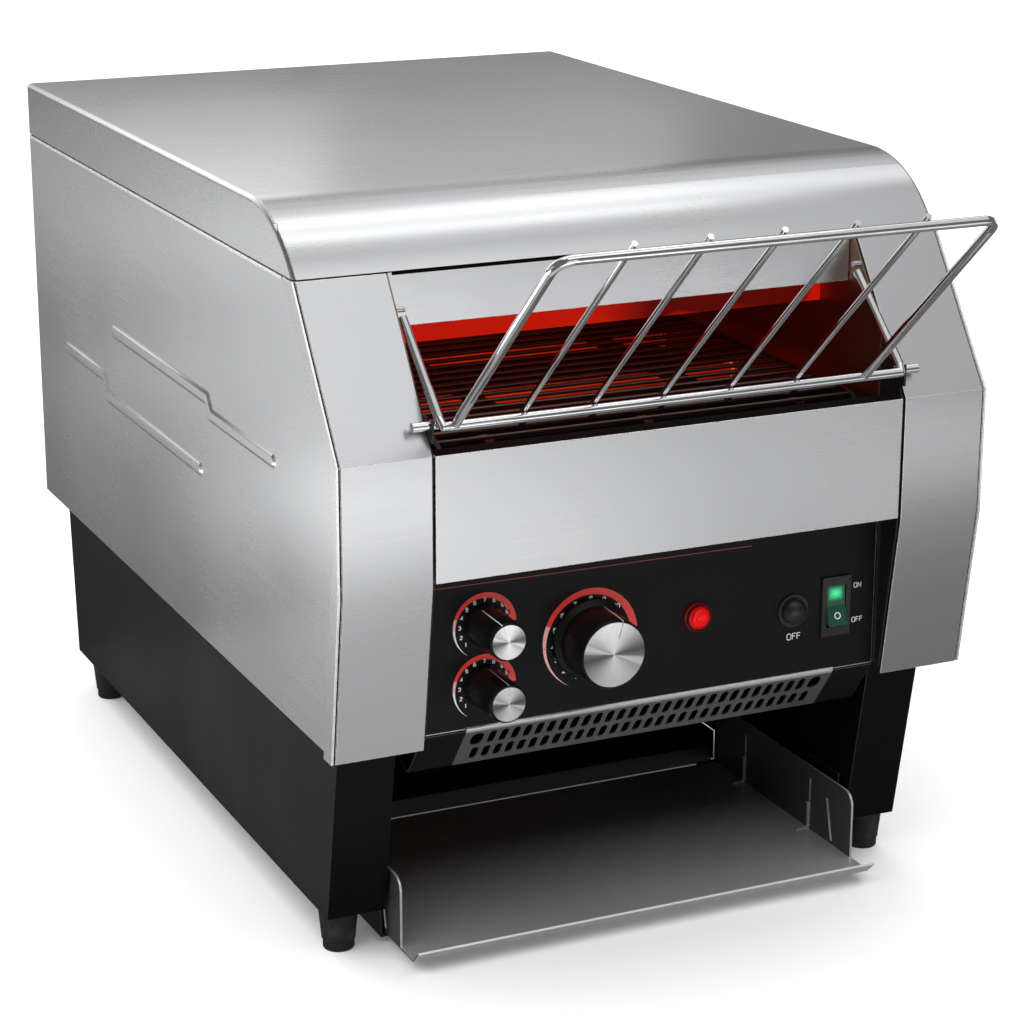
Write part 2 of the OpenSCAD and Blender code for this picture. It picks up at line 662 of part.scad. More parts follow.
module tray_wall() difference() {
    union() {
        rect(tray_front, tray_rear, 5.5, 37.5);
        rect(tray_front + 8, tray_rear, 37, 45.5);
        translate([tray_front + 8, 37.5]) circle(r = 8);
    }
    for (y = [84.5, 160]) rect(y - 1.1, y + 1.1, 9, 38);
    polygon([[64.8, 33], [67, 33], [61.5, 9], [59.3, 9]]);
}
module discharge_tray() color([0.35, 0.35, 0.36]) at() {
    difference() {
        along_x(-tray_x, tray_x) {
            rect(23.4, tray_rear, 5.5, 6.7);
            polygon([[24.2, 5.5], [23.1, 6.7], [16, 13.6], [15.1, 12.8],
                [22.8, 5.5]]);
        }
        both() translate([129, 83.4, 0]) cube([6, 2.2, 10]);
        both() translate([129, 158.9, 0]) cube([6, 2.2, 10]);
    }
    both() along_x(tray_x - t, tray_x) tray_wall();
    // lanced tabs beside the slits
    both() for (y = [84.5, 160]) {
        translate([tray_x - 2.4, y + 1.3, 6.7]) cube([1.2, 2.4, 16]);
        translate([tray_x - 9, y + 1.3, 6.7]) cube([7, 2.4, 1.2]);
    }
}
module tray_rails() color([0.05, 0.05, 0.05]) at() both()
    difference() {
        translate([127, 60, 4]) cube([base_in - 127, 145, 46]);
        translate([120, 50, 5.2]) cube([base_in - 121.2, 170, 60]);
    }

// ------------------------------------------------------------------ rack
fence_u = unit(top_rod - low_rod);
fence_n = [fence_u[1], -fence_u[0]];
fence_l = norm(top_rod - low_rod);
fence_a = atan2(fence_u[1], fence_u[0]);
leg_x = 115.5;
fence_x = -8.5;          // the fence hangs a little to the left of the middle
corner_r = 9;
// places a drawing whose x is the part's X and whose y climbs the fence
module in_fence() translate([fence_x, low_rod[0], low_rod[1]])
    rotate([fence_a, 0, 0]) children();
module rack_fence() color([0.85, 0.86, 0.88]) at() in_fence() {
    translate([-leg_x + corner_r, fence_l, 0]) rotate([0, 90, 0])
        cylinder(h = 2 * (leg_x - corner_r), r = rod_r);
    both() {
        translate([leg_x, rod_r + 0.02, 0]) rotate([-90, 0, 0])
            cylinder(h = fence_l - corner_r - rod_r - 0.02, r = rod_r);
        translate([leg_x - corner_r, fence_l - corner_r, 0])
            rotate_extrude(angle = 90) translate([corner_r, 0])
                circle(r = rod_r);
    }
}
module rack_wires() color([0.85, 0.86, 0.88]) at() in_fence()
    for (i = [1:wire_n])
        translate([-leg_x + i * 2 * leg_x / (wire_n + 1), -9,
            -(rod_r + wire_r + 0.02)]) rotate([-90, 0, 0])
                cylinder(h = fence_l + 11.2, r = wire_r);
module rack_bottom_rod() color([0.85, 0.86, 0.88]) at()
    translate([-127.4, low_rod[0], low_rod[1]]) rotate([0, 90, 0])
        cylinder(h = 254.8, r = rod_r);
arm = [[127.42, low_rod[0], low_rod[1]], [129.8, low_rod[0], low_rod[1]],
    [130.7, 1.4, 303.6], [130.7, 46, 344]];
arm_r = 2.3;
module rack_arms() color([0.85, 0.86, 0.88]) at() both() {
    rod(arm[0], arm[1], arm_r);
    // sleeve where the arm's end is drawn down
    rod(arm[2], arm[2] + 0.29 * (arm[3] - arm[2]), arm_r + 0.25);
    for (i = [1:2]) {
        translate(arm[i]) sphere(r = arm_r + 0.06);
        rod(arm[i], arm[i + 1], arm_r);
    }
}
module rack_stubs() color([0.85, 0.86, 0.88]) at() both() {
    translate([129.4, pivot[0], pivot[1]]) rotate([0, 90, 0])
        cylinder(h = 143.8 - 129.4, r = rod_r);
    rod([131.2, pivot[0], pivot[1]], [131.2, 0.85, pivot[1] + 1.2], 1.6);
}
module rack_stop_pins() color([0.6, 0.6, 0.6]) at() both()
    translate([129, 48, 348]) rotate([0, 90, 0])
        cylinder(h = wall_x - 129, r = 1.5);

top_cover();
left_side_panel();
right_side_panel();
left_front_pillar();
right_front_pillar();
front_panel();
upper_front_panel();
rear_panel();
control_panel();
control_overlay();
control_box();
discharge_guard();
left_base_side();
right_base_side();
rear_base_panel();
feet();
left_oven_wall();
right_oven_wall();
oven_ceiling();
oven_floor();
upper_heaters();
lower_heaters();
heater_insulators();
conveyor_belt();
belt_runners();
drive_shaft();
drive_sprockets();
idler_shaft();
idler_sprockets();
shaft_bushes();
shaft_chain_sprocket();
motor_sprocket();
drive_chain();
gearmotor();
motor_bracket();
fan_frame();
fan_rotor();
discharge_chute();
discharge_tray();
tray_rails();
rack_fence();
rack_wires();
rack_bottom_rod();
rack_arms();
rack_stubs();
rack_stop_pins();
speed_knob();
speed_knob_cap();
upper_heat_knob();
upper_heat_cap();
lower_heat_knob();
lower_heat_cap();
knob_switches();
power_rocker();
off_button();
switch_housings();
cycle_lamp();
control_board();
cord_gland();
case_screws();
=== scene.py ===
import bpy, bmesh, math
from mathutils import Vector, Matrix


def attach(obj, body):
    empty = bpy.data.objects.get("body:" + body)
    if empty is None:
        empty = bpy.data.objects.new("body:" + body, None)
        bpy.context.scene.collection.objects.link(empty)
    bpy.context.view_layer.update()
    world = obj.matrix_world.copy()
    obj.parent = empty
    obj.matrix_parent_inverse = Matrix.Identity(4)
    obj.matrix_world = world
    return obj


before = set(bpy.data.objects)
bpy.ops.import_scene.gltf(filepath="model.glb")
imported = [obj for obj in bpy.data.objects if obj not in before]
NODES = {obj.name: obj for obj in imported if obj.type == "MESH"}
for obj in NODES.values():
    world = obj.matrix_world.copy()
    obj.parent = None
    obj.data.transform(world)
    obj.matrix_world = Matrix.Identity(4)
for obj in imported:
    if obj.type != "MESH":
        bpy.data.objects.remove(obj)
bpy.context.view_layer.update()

Y0 = -215.25  # front plane of the casing, in millimetres behind the middle


def P(x, y, z):
    """Millimetres measured from the casing's front plane, as metres of the frame."""
    return Vector((x / 1000, (y + Y0) / 1000, z / 1000))


def deep(y):
    """Millimetres behind the casing's front plane, as the frame's Y in metres."""
    return (y + Y0) / 1000


# ------------------------------------------------------------------ materials
class Graph:
    """One material's node graph."""

    def __init__(self, name):
        self.m = bpy.data.materials.new(name)
        self.m.use_nodes = True
        self.t = self.m.node_tree
        self.b = next(n for n in self.t.nodes if n.type == "BSDF_PRINCIPLED")
        self.tc = None

    def node(self, kind, **kw):
        n = self.t.nodes.new("ShaderNode" + kind)
        for k, v in kw.items():
            setattr(n, k, v)
        return n

    def put(self, socket, value):
        if hasattr(value, "is_output"):
            self.t.links.new(value, socket)
        elif value is not None:
            socket.default_value = value

    def place(self, scale=(1, 1, 1), shift=(0, 0, 0), turn=(0, 0, 0)):
        if self.tc is None:
            self.tc = self.node("TexCoord")
        m = self.node("Mapping")
        self.put(m.inputs["Vector"], self.tc.outputs["Object"])
        m.inputs["Scale"].default_value = scale
        m.inputs["Location"].default_value = shift
        m.inputs["Rotation"].default_value = turn
        return m.outputs["Vector"]

    def noise(self, vec, scale=1.0, detail=2.0, rough=0.5, warp=0.0):
        n = self.node("TexNoise")
        self.put(n.inputs["Vector"], vec)
        n.inputs["Scale"].default_value = scale
        n.inputs["Detail"].default_value = detail
        n.inputs["Roughness"].default_value = rough
        n.inputs["Distortion"].default_value = warp
        return n.outputs["Fac"]

    def ramp(self, fac, *stops):
        n = self.node("ValToRGB")
        self.put(n.inputs["Fac"], fac)
        e = n.color_ramp.elements
        while len(e) < len(stops):
            e.new(0.5)
        for k, (p, c) in enumerate(stops):
            e[k].position = p
            e[k].color = (c, c, c, 1) if isinstance(c, (int, float)) else (*c, 1)
        return n.outputs["Color"]

    def map(self, fac, a, b, c=0.0, d=1.0):
        n = self.node("MapRange")
        self.put(n.inputs["Value"], fac)
        n.inputs["From Min"].default_value = a
        n.inputs["From Max"].default_value = b
        n.inputs["To Min"].default_value = c
        n.inputs["To Max"].default_value = d
        return n.outputs["Result"]

    def math(self, op, a, b=None, clamp=False):
        n = self.node("Math", operation=op, use_clamp=clamp)
        self.put(n.inputs[0], a)
        self.put(n.inputs[1], b)
        return n.outputs[0]

    def mix(self, fac, a, b, mode="MIX"):
        n = self.node("MixRGB", blend_type=mode)
        self.put(n.inputs["Fac"], fac)
        for k, v in ((1, a), (2, b)):
            if isinstance(v, tuple) and len(v) == 3:
                v = (*v, 1)
            self.put(n.inputs[k], v)
        return n.outputs["Color"]

    def bump(self, height, strength, distance, normal=None):
        n = self.node("Bump")
        n.inputs["Strength"].default_value = strength
        n.inputs["Distance"].default_value = distance
        self.put(n.inputs["Height"], height)
        self.put(n.inputs["Normal"], normal)
        return n.outputs["Normal"]

    def set(self, **kw):
        for k, v in kw.items():
            k = k.replace("_", " ")
            if isinstance(v, tuple) and len(v) == 3:
                v = (*v, 1)
            self.put(self.b.inputs[k], v)
        return self

    def xyz(self):
        s = self.node("SeparateXYZ")
        if self.tc is None:
            self.tc = self.node("TexCoord")
        self.put(s.inputs[0], self.tc.outputs["Object"])
        return s.outputs


def mul(c, k):
    return tuple(min(1.0, x * k) for x in c)


def brushed(name, tone, grain="x", rough=0.3, depth=1.0, warm=None, smudge=0.05, zone=None,
            metal=1.0):
    """Brushed sheet: hair-fine lines along one axis, slow blotches and faint handling marks.

    zone is (axis, from, to, tone, metallic): past that height the sheet changes to another tone; on
    the top sheet this is painted shade, on the guard a painted highlight.
    """
    g = Graph(name)
    fine = {"x": (7, 2300, 2300), "y": (2300, 7, 2300), "z": (2300, 2300, 7)}[grain]
    mid = {"x": (2.5, 420, 420), "y": (420, 2.5, 420), "z": (420, 420, 2.5)}[grain]
    f = g.noise(g.place(fine), 1, 3, 0.6)
    m = g.noise(g.place(mid), 1, 2, 0.5)
    slow = g.noise(g.place((6, 6, 6)), 1, 2, 0.5)
    k = g.math("ADD", g.map(f, 0.25, 0.75, -0.02 * depth, 0.02 * depth),
               g.map(m, 0.3, 0.7, -0.008 * depth, 0.008 * depth))
    k = g.math("ADD", k, g.map(slow, 0.3, 0.7, -smudge, smudge))
    col = g.mix(g.map(k, -0.15, 0.15), mul(tone, 0.88), mul(tone, 1.12))
    if warm:
        col = g.mix(g.map(slow, 0.35, 0.65), col, warm)
    r = g.math("ADD", g.map(m, 0.3, 0.7, rough - 0.006, rough + 0.006),
               g.map(slow, 0.35, 0.7, -0.015, 0.02))
    if zone:
        axis, a, b, other, mt = zone
        part = g.map(g.xyz()[axis], a, b)
        col = g.mix(part, col, other)
        metal = g.map(part, 0, 1, metal, mt)
    g.set(Base_Color=col, Metallic=metal, Roughness=r)
    return g.m


def bright_edge(name, tone, rough=0.22, metal=0.7):
    """Sheared and rolled edges, where the sheet is burnished; their lighter tone is partly a painted
    highlight.
    """
    g = Graph(name)
    n = g.noise(g.place((180, 180, 180)), 1, 2)
    g.set(Base_Color=g.mix(g.map(n, 0.3, 0.7), mul(tone, 0.9), mul(tone, 1.08)),
          Metallic=metal, Roughness=g.map(n, 0.3, 0.7, rough, rough + 0.1))
    return g.m


def painted(name, tone, rough=0.4, peel=1.0, wear=(0.05, 0.05, 0.052), level=0.5):
    """Powder coat: fine orange peel, slightly uneven gloss, a few rubbed specks."""
    g = Graph(name)
    p = g.noise(g.place((900, 900, 900)), 1, 2, 0.5)
    q = g.noise(g.place((160, 160, 160)), 1, 2, 0.5)
    slow = g.noise(g.place((9, 9, 9)), 1, 3, 0.5)
    speck = g.noise(g.place((420, 420, 420)), 1, 2, 0.6)
    col = g.mix(g.map(slow, 0.3, 0.7), mul(tone, 0.85), mul(tone, 1.2))
    col = g.mix(g.map(speck, 0.78, 0.84), col, wear)
    h = g.math("ADD", p, g.math("MULTIPLY", q, 0.6))
    g.set(Base_Color=col, Roughness=g.map(slow, 0.3, 0.7, rough - 0.04, rough + 0.06),
          Normal=g.bump(h, 0.28 * peel, 0.00012), IOR=1.5)
    g.b.inputs["Specular IOR Level"].default_value = level
    return g.m


def moulded(name, tone, rough=0.35, grain=1.0, coat=0.0, glow=None, power=0.0, level=0.5):
    g = Graph(name)
    p = g.noise(g.place((1400, 1400, 1400)), 1, 2, 0.5)
    slow = g.noise(g.place((60, 60, 60)), 1, 2, 0.5)
    g.set(Base_Color=g.mix(g.map(slow, 0.3, 0.7), mul(tone, 0.85), mul(tone, 1.2)),
          Roughness=g.map(slow, 0.3, 0.7, rough - 0.03, rough + 0.05),
          Normal=g.bump(p, 0.16 * grain, 0.00006), IOR=1.5)
    g.b.inputs["Specular IOR Level"].default_value = level
    g.b.inputs["Coat Weight"].default_value = coat
    g.b.inputs["Coat Roughness"].default_value = 0.12
    if glow:
        g.set(Emission_Color=glow)
        g.b.inputs["Emission Strength"].default_value = power
    return g.m


def plated(name, tone, rough=0.07):
    """Bright plating: near-mirror, with slight ripple and a few dull patches."""
    g = Graph(name)
    w = g.noise(g.place((70, 70, 70)), 1, 2)
    s = g.noise(g.place((500, 500, 500)), 1, 2)
    g.set(Base_Color=g.mix(g.map(w, 0.3, 0.7), mul(tone, 0.94), mul(tone, 1.05)),
          Metallic=1.0, Roughness=g.map(s, 0.35, 0.75, rough, rough + 0.07),
          Normal=g.bump(w, 0.1, 0.0002))
    return g.m


def spun(name, tone, rough=0.24):
    """Aluminium faced on a lathe: rings too fine to see one by one; the wedges in which light gathers
    on them are painted into its colour by angle, as painted highlights.
    """
    g = Graph(name)
    slow = g.noise(g.place((300, 300, 300)), 1, 2)
    s = g.node("SeparateXYZ")
    g.put(s.inputs[0], g.tc.outputs["Generated"])
    x, z = (g.math("SUBTRACT", s.outputs[k], 0.5) for k in (0, 2))
    a = g.math("ARCTAN2", x, z)  # clockwise from the top

    def painted_wedge(at, half):
        c = g.math("COSINE", g.math("SUBTRACT", a, math.radians(at)))
        return g.map(c, math.cos(math.radians(half)), 1.0)

    k = g.math("POWER", g.math("ABSOLUTE", g.math("COSINE", g.math("ADD", a, 0.1))), 1.3)
    k = g.math("MAXIMUM", k, g.math("MAXIMUM", g.math("MULTIPLY", painted_wedge(-71, 13), 0.75),
                                    g.math("MULTIPLY", painted_wedge(110, 13), 0.85)))
    k = g.math("ADD", k, g.map(g.noise(g.place((900, 0, 900)), 1, 2), 0.3, 0.7, -0.02, 0.02))
    col = g.mix(g.map(k, 0.0, 1.0), mul(tone, 0.13), tone)
    g.set(Base_Color=g.mix(g.map(slow, 0.3, 0.7, 0, 0.05), col, mul(tone, 0.5)),
          Metallic=1.0, Roughness=g.map(slow, 0.3, 0.7, rough - 0.02, rough + 0.02))
    return g.m


def rubber(name):
    g = Graph(name)
    p = g.noise(g.place((700, 700, 700)), 1, 3, 0.6)
    dust = g.noise(g.place((60, 60, 60)), 1, 3, 0.6)
    g.set(Base_Color=g.mix(g.map(dust, 0.55, 0.8), (0.014, 0.014, 0.014), (0.05, 0.048, 0.046)),
          Roughness=g.map(dust, 0.3, 0.7, 0.6, 0.8), Normal=g.bump(p, 0.35, 0.0002))
    return g.m


def hot(name, core, rim, power):
    """Sheath that glows: brighter along the middle of its length, with scaled patches."""
    g = Graph(name)
    s = g.noise(g.place((60, 200, 200)), 1, 3, 0.6)
    x = g.xyz()[0]
    mid = g.math("SUBTRACT", 1.0, g.math("MULTIPLY", g.math("ABSOLUTE", x), 4.5), clamp=True)
    c = g.mix(g.map(s, 0.35, 0.7), core, rim)
    g.set(Base_Color=(0.09, 0.05, 0.04), Roughness=0.6, Emission_Color=g.mix(mid, mul(rim, 0.5), c))
    g.b.inputs["Emission Strength"].default_value = power
    return g.m


def print_ink(name, tone, rough=0.5, glow=0.0):
    g = Graph(name)
    n = g.noise(g.place((2500, 2500, 2500)), 1, 2)
    g.set(Base_Color=g.mix(g.map(n, 0.3, 0.7), mul(tone, 0.93), mul(tone, 1.05)), Roughness=rough,
          Normal=g.bump(n, 0.1, 0.00003))
    return g.m


STEEL = (0.60, 0.605, 0.615)
M = {
    # painted shade: the top sheet starts lighter than the other steel and grows darker towards the
    # rear
    "top": brushed("top_steel_painted_shade", mul(STEEL, 1.1), "x", 0.28, 0.7, smudge=0.02,
                   zone=(1, deep(82), deep(820), (0.34, 0.343, 0.35), 1.0)),
    "steel_x": brushed("brushed_steel_across", STEEL, "x", 0.28, 0.7, smudge=0.03),
    "steel_y": brushed("brushed_steel_along", STEEL, "y", 0.27, 0.7, smudge=0.02),
    "steel_edge": bright_edge("steel_edge", (0.86, 0.86, 0.87)),
    # painted light: a copy of the front steel 1.45 times as light, for the upper front panel
    "upper": brushed("upper_steel_painted_lighter", mul(STEEL, 1.45), "x", 0.28, 0.7, smudge=0.03),
    "shade": moulded("shaded_fold", (0.004, 0.0038, 0.0037), 0.7, level=0.02),
    "panel_edge": brushed("panel_steel", (0.66, 0.66, 0.67), "x", 0.28),
    "overlay": None,
    "black": painted("satin_black_steel", (0.0032, 0.0032, 0.0034), 0.4, level=0.125),
    "black_edge": bright_edge("black_edge", (0.10, 0.10, 0.105), 0.3),
    # painted highlight: above 129.8 mm the guard's rolled top edge is much lighter and less metallic
    "guard": brushed("guard_steel", (0.37, 0.37, 0.375), "x", 0.36, 1.2,
                     zone=(2, 0.1290, 0.1298, (0.78, 0.78, 0.79), 0.8)),
    "guard_edge": bright_edge("guard_edge", (0.62, 0.62, 0.63), 0.25),
    "rubber": rubber("foot_rubber"),
    "sooty": brushed("sooty_steel", (0.055, 0.045, 0.04), "x", 0.5, 1.2, warm=(0.07, 0.04, 0.03)),
    "belt": brushed("belt_wire", (0.16, 0.13, 0.12), "x", 0.36, 1.0, warm=(0.15, 0.09, 0.07)),
    "shaded_belt_wire": brushed("shaded_belt_wire", (0.013, 0.011, 0.01), "x", 0.5, 1.0, metal=0.6),
    "chute_low": brushed("shaded_chute_steel", (0.035, 0.034, 0.033), "y", 0.5, metal=0.5),
    "pin": brushed("pin_steel", (0.62, 0.62, 0.63), "x", 0.3, 0.7),
    "ground": brushed("ground_steel", (0.55, 0.55, 0.57), "x", 0.25, 0.7),
    "oiled": brushed("oiled_steel", (0.26, 0.25, 0.24), "z", 0.34, 0.8),
    "bronze": brushed("bearing_bronze", (0.50, 0.34, 0.16), "x", 0.36, 0.8),
    "motor": painted("motor_grey", (0.09, 0.09, 0.1), 0.42),
    "plastic": moulded("black_plastic", (0.012, 0.012, 0.0125), 0.38),
    "button": moulded("button_plastic", (0.010, 0.010, 0.0105), 0.34, 0.4),
    "chute": brushed("chute_steel", (0.11, 0.108, 0.105), "y", 0.45, metal=0.7),
    "tray": brushed("tray_steel", (0.70, 0.695, 0.69), "y", 0.34, 1.3, metal=0.6),
    "tray_edge": bright_edge("tray_edge", (0.92, 0.92, 0.93), 0.3, 0.3),
    "tray_side": brushed("tray_side_painted_shade", (0.13, 0.128, 0.126), "y", 0.4, 1.3, metal=0.6),
    "chrome": plated("bright_chrome", (0.85, 0.85, 0.87), 0.035),
    "knob": moulded("knob_plastic", (0.005, 0.005, 0.0053), 0.3, 0.6, level=0.22),
    "spun": spun("spun_aluminium_painted_wedges", (0.82, 0.82, 0.83)),
    "phenolic": moulded("switch_phenolic", (0.10, 0.065, 0.04), 0.45),
    "board": moulded("board_green", (0.012, 0.09, 0.035), 0.3, 1.0, coat=0.3),
    "ceramic": moulded("heater_ceramic", (0.75, 0.72, 0.66), 0.6),
    "heater": hot("hot_heater", (1.0, 0.09, 0.01), (0.7, 0.025, 0.003), 1.6),
    "heater_low": hot("low_heater", (0.8, 0.03, 0.003), (0.4, 0.008, 0.001), 0.5),
    "white_ink": print_ink("white_ink", (0.78, 0.78, 0.78)),
    "red_ink": print_ink("red_ink", (0.80, 0.028, 0.012)),
    "pink_ink": print_ink("pink_ink", (0.85, 0.42, 0.40)),
    "grey_ink": print_ink("grey_ink", (0.45, 0.45, 0.46)),
    "line_ink": print_ink("line_ink", (0.25, 0.02, 0.014)),
}

# printed film on the control panel: near-black, slightly grained, with a soft sheen
g = Graph("panel_film")
p1 = g.noise(g.place((2600, 2600, 2600)), 1, 2, 0.5)
p2 = g.noise(g.place((14, 14, 14)), 1, 2, 0.5)
g.set(Base_Color=g.mix(g.map(p2, 0.3, 0.7), (0.0040, 0.0040, 0.0043), (0.0052, 0.0052, 0.0055)),
      Roughness=g.map(p2, 0.3, 0.7, 0.42, 0.5), Normal=g.bump(p1, 0.25, 0.00006), IOR=1.45)
g.b.inputs["Specular IOR Level"].default_value = 0.22
M["overlay"] = g.m

# lamp: clear red lens, lit in the middle and dark towards its rim
g = Graph("lamp_red")
x, y, z = g.xyz()
dx, dz = g.math("SUBTRACT", x, 0.024), g.math("SUBTRACT", z, 0.174)
r = g.math("SQRT", g.math("ADD", g.math("MULTIPLY", dx, dx), g.math("MULTIPLY", dz, dz)))
ripple = g.noise(g.place((500, 500, 500)), 1, 2)
core = g.map(r, 0.0066, 0.0044)
g.set(Base_Color=g.mix(core, (0.05, 0.001, 0.001), (0.30, 0.001, 0.001)),
      Roughness=g.map(ripple, 0.3, 0.7, 0.16, 0.26),
      Emission_Color=g.mix(core, (0.03, 0.0002, 0.0002), (0.46, 0.0006, 0.0006)))
g.b.inputs["Emission Strength"].default_value = 1.0
g.b.inputs["Specular IOR Level"].default_value = 0.3
M["red"] = g.m

# rocker: dark green moulding, lit from inside behind its upper half
g = Graph("lit_rocker")
x, y, z = g.xyz()
p1 = g.noise(g.place((900, 900, 900)), 1, 2, 0.5)
off = g.math("ABSOLUTE", g.math("SUBTRACT", x, 0.1083))
mask = g.math("MULTIPLY", g.map(z, 0.1706, 0.1728), g.map(z, 0.1795, 0.1770))
mask = g.math("MULTIPLY", mask, g.map(off, 0.0052, 0.0030))
spot = g.math("MULTIPLY", g.map(g.math("ABSOLUTE", g.math("SUBTRACT", z, 0.1752)), 0.0034, 0.0),
              g.map(off, 0.0046, 0.0))
glow_c = g.mix(spot, (0.0, 0.30, 0.11), (0.10, 0.95, 0.38))
g.set(Base_Color=g.mix(g.map(z, 0.160, 0.172), (0.014, 0.055, 0.042), (0.002, 0.05, 0.024)),
      Roughness=g.map(p1, 0.3, 0.7, 0.2, 0.3), Emission_Color=g.mix(mask, (0.0, 0.012, 0.006), glow_c),
      Normal=g.bump(p1, 0.1, 0.00004))
g.b.inputs["Emission Strength"].default_value = 1.0
M["green"] = g.m

# oven walls: heat-tinted inside, near black and not metallic along the front edges that show beside
# the panels
g = Graph("oven_wall_steel")
x, y, z = g.xyz()
f = g.noise(g.place((2300, 7, 2300)), 1, 3, 0.6)
slow = g.noise(g.place((14, 14, 14)), 1, 3, 0.6)
tint = g.mix(g.map(slow, 0.35, 0.68), (0.30, 0.25, 0.22), (0.33, 0.17, 0.09))
tint = g.mix(g.map(f, 0.25, 0.75, 0, 0.35), tint, (0.2, 0.15, 0.13))
edge = g.map(y, deep(25), deep(23.5))
g.set(Base_Color=g.mix(edge, tint, (0.006, 0.006, 0.006)),
      Metallic=g.map(edge, 0, 1, 1, 0), Roughness=g.map(slow, 0.3, 0.7, 0.38, 0.5),
      Normal=g.bump(f, 0.15, 0.00004))
M["oven_wall"] = g.m

# baffle over the oven mouth: the red light of the heaters behind and above it is painted on as glow,
# dimmer towards the top, with darker patches towards the right
g = Graph("baffle_painted_heater_light")
x, y, z = g.xyz()
s = g.noise(g.place((22, 22, 60)), 1, 3, 0.55)
fade = g.map(z, 0.318, 0.352, 0.0, 1.0)
col = g.mix(fade, (0.52, 0.008, 0.0004), (0.36, 0.003, 0.0002))
col = g.mix(g.map(s, 0.35, 0.75), col, (0.46, 0.006, 0.0003))
patch = g.noise(g.place((18, 18, 34)), 1, 1, 0.4)
patch = g.math("MULTIPLY", g.map(patch, 0.5, 0.56), g.map(x, -0.005, 0.03))
col = g.mix(patch, col, (0.09, 0.0014, 0.0003))
face = g.math("MULTIPLY", g.map(y, deep(88.65), deep(88.35)), g.map(y, deep(87), deep(87.3)))
face = g.math("MULTIPLY", face, g.map(z, 0.3518, 0.3515))
g.b.inputs["Specular IOR Level"].default_value = 0.1
g.set(Base_Color=g.mix(face, (0.03, 0.026, 0.024), (0.02, 0.001, 0.0006)), Roughness=0.55,
      Emission_Color=g.mix(face, (0, 0, 0), col))
g.b.inputs["Emission Strength"].default_value = 1.0
M["baffle"] = g.m

PLAN = {
    "top": ["top_cover"],
    "steel_x": ["left_front_pillar", "right_front_pillar",
                "front_panel", "rear_panel"],
    "upper": ["upper_front_panel"],
    "steel_y": ["left_side_panel", "right_side_panel"],
    "panel_edge": ["control_panel"],
    "overlay": ["control_overlay"],
    "black": ["control_box", "left_base_side", "right_base_side", "rear_base_panel", "tray_rails"],
    "guard": ["discharge_guard"],
    "rubber": ["feet"],
    "oven_wall": ["left_oven_wall", "right_oven_wall"],
    "sooty": ["oven_floor", "belt_runners"],
    "pin": ["rack_stop_pins"],
    "baffle": ["oven_ceiling"],
    "heater": ["upper_heaters"],
    "heater_low": ["lower_heaters"],
    "ceramic": ["heater_insulators"],
    "belt": ["conveyor_belt"],
    "ground": ["drive_shaft", "idler_shaft", "motor_bracket"],
    "oiled": ["drive_sprockets", "idler_sprockets", "shaft_chain_sprocket", "motor_sprocket",
              "drive_chain"],
    "bronze": ["shaft_bushes"],
    "motor": ["gearmotor"],
    "plastic": ["fan_frame", "fan_rotor", "switch_housings", "cord_gland"],
    "button": ["off_button"],
    "chute": ["discharge_chute"],
    "tray": ["discharge_tray"],
    "chrome": ["rack_fence", "rack_wires", "rack_bottom_rod", "rack_arms", "rack_stubs",
               "case_screws"],
    "knob": ["speed_knob", "upper_heat_knob", "lower_heat_knob"],
    "spun": ["speed_knob_cap", "upper_heat_cap", "lower_heat_cap"],
    "phenolic": ["knob_switches"],
    "green": ["power_rocker"],
    "red": ["cycle_lamp"],
    "board": ["control_board"],
}
EDGE = {"top": "steel_edge", "steel_x": "steel_edge", "upper": "steel_edge", "steel_y": "steel_edge", "panel_edge": "steel_edge",
        "black": "black_edge", "guard": "guard_edge", "tray": "tray_edge", "chute": "chute"}
WIDTH = {"top_cover": 0.5, "left_side_panel": 0.35, "right_side_panel": 0.35,
         "left_front_pillar": 0.22, "right_front_pillar": 0.22, "front_panel": 0.45,
         "upper_front_panel": 0.35, "left_base_side": 0.5, "right_base_side": 0.5,
         "discharge_tray": 0.45, "discharge_guard": 0.3, "control_box": 0.3,
         "control_panel": 0.3, "rear_panel": 0.3, "discharge_chute": 0.3,
         "tray_rails": 0.3, "rear_base_panel": 0.3}


def soften(o, width, edge):
    """Breaks a sheet's sharp edges by a fraction of a millimetre."""
    w = o.modifiers.new("join", "WELD")
    w.merge_threshold = 2e-6
    d = o.modifiers.new("flat", "DECIMATE")
    d.decimate_type = "DISSOLVE"
    d.angle_limit = math.radians(0.4)
    b = o.modifiers.new("edge", "BEVEL")
    b.limit_method = "ANGLE"
    b.angle_limit = math.radians(25)
    b.width = width / 1000
    b.segments = 2
    if edge:
        b.material = 1
    n = o.modifiers.new("shade", "WEIGHTED_NORMAL")
    n.keep_sharp = False


for key, names in PLAN.items():
    for name in names:
        o = NODES[name]
        o.data.materials.clear()
        o.data.materials.append(M[key])
        if key in EDGE:
            o.data.materials.append(M[EDGE[key]])
        if name in WIDTH:
            soften(o, WIDTH[name], key in EDGE)


def group(name, mat, test):
    """Gives the faces that pass the test, of a middle and a normal, a material of their own."""
    o = NODES[name]
    if mat in [m.name for m in o.data.materials]:
        k = [m.name for m in o.data.materials].index(mat)
    else:
        o.data.materials.append(next(m for m in M.values() if m.name == mat))
        k = len(o.data.materials) - 1
    for p in o.data.polygons:
        if test(p.center, p.normal):
            p.material_index = k


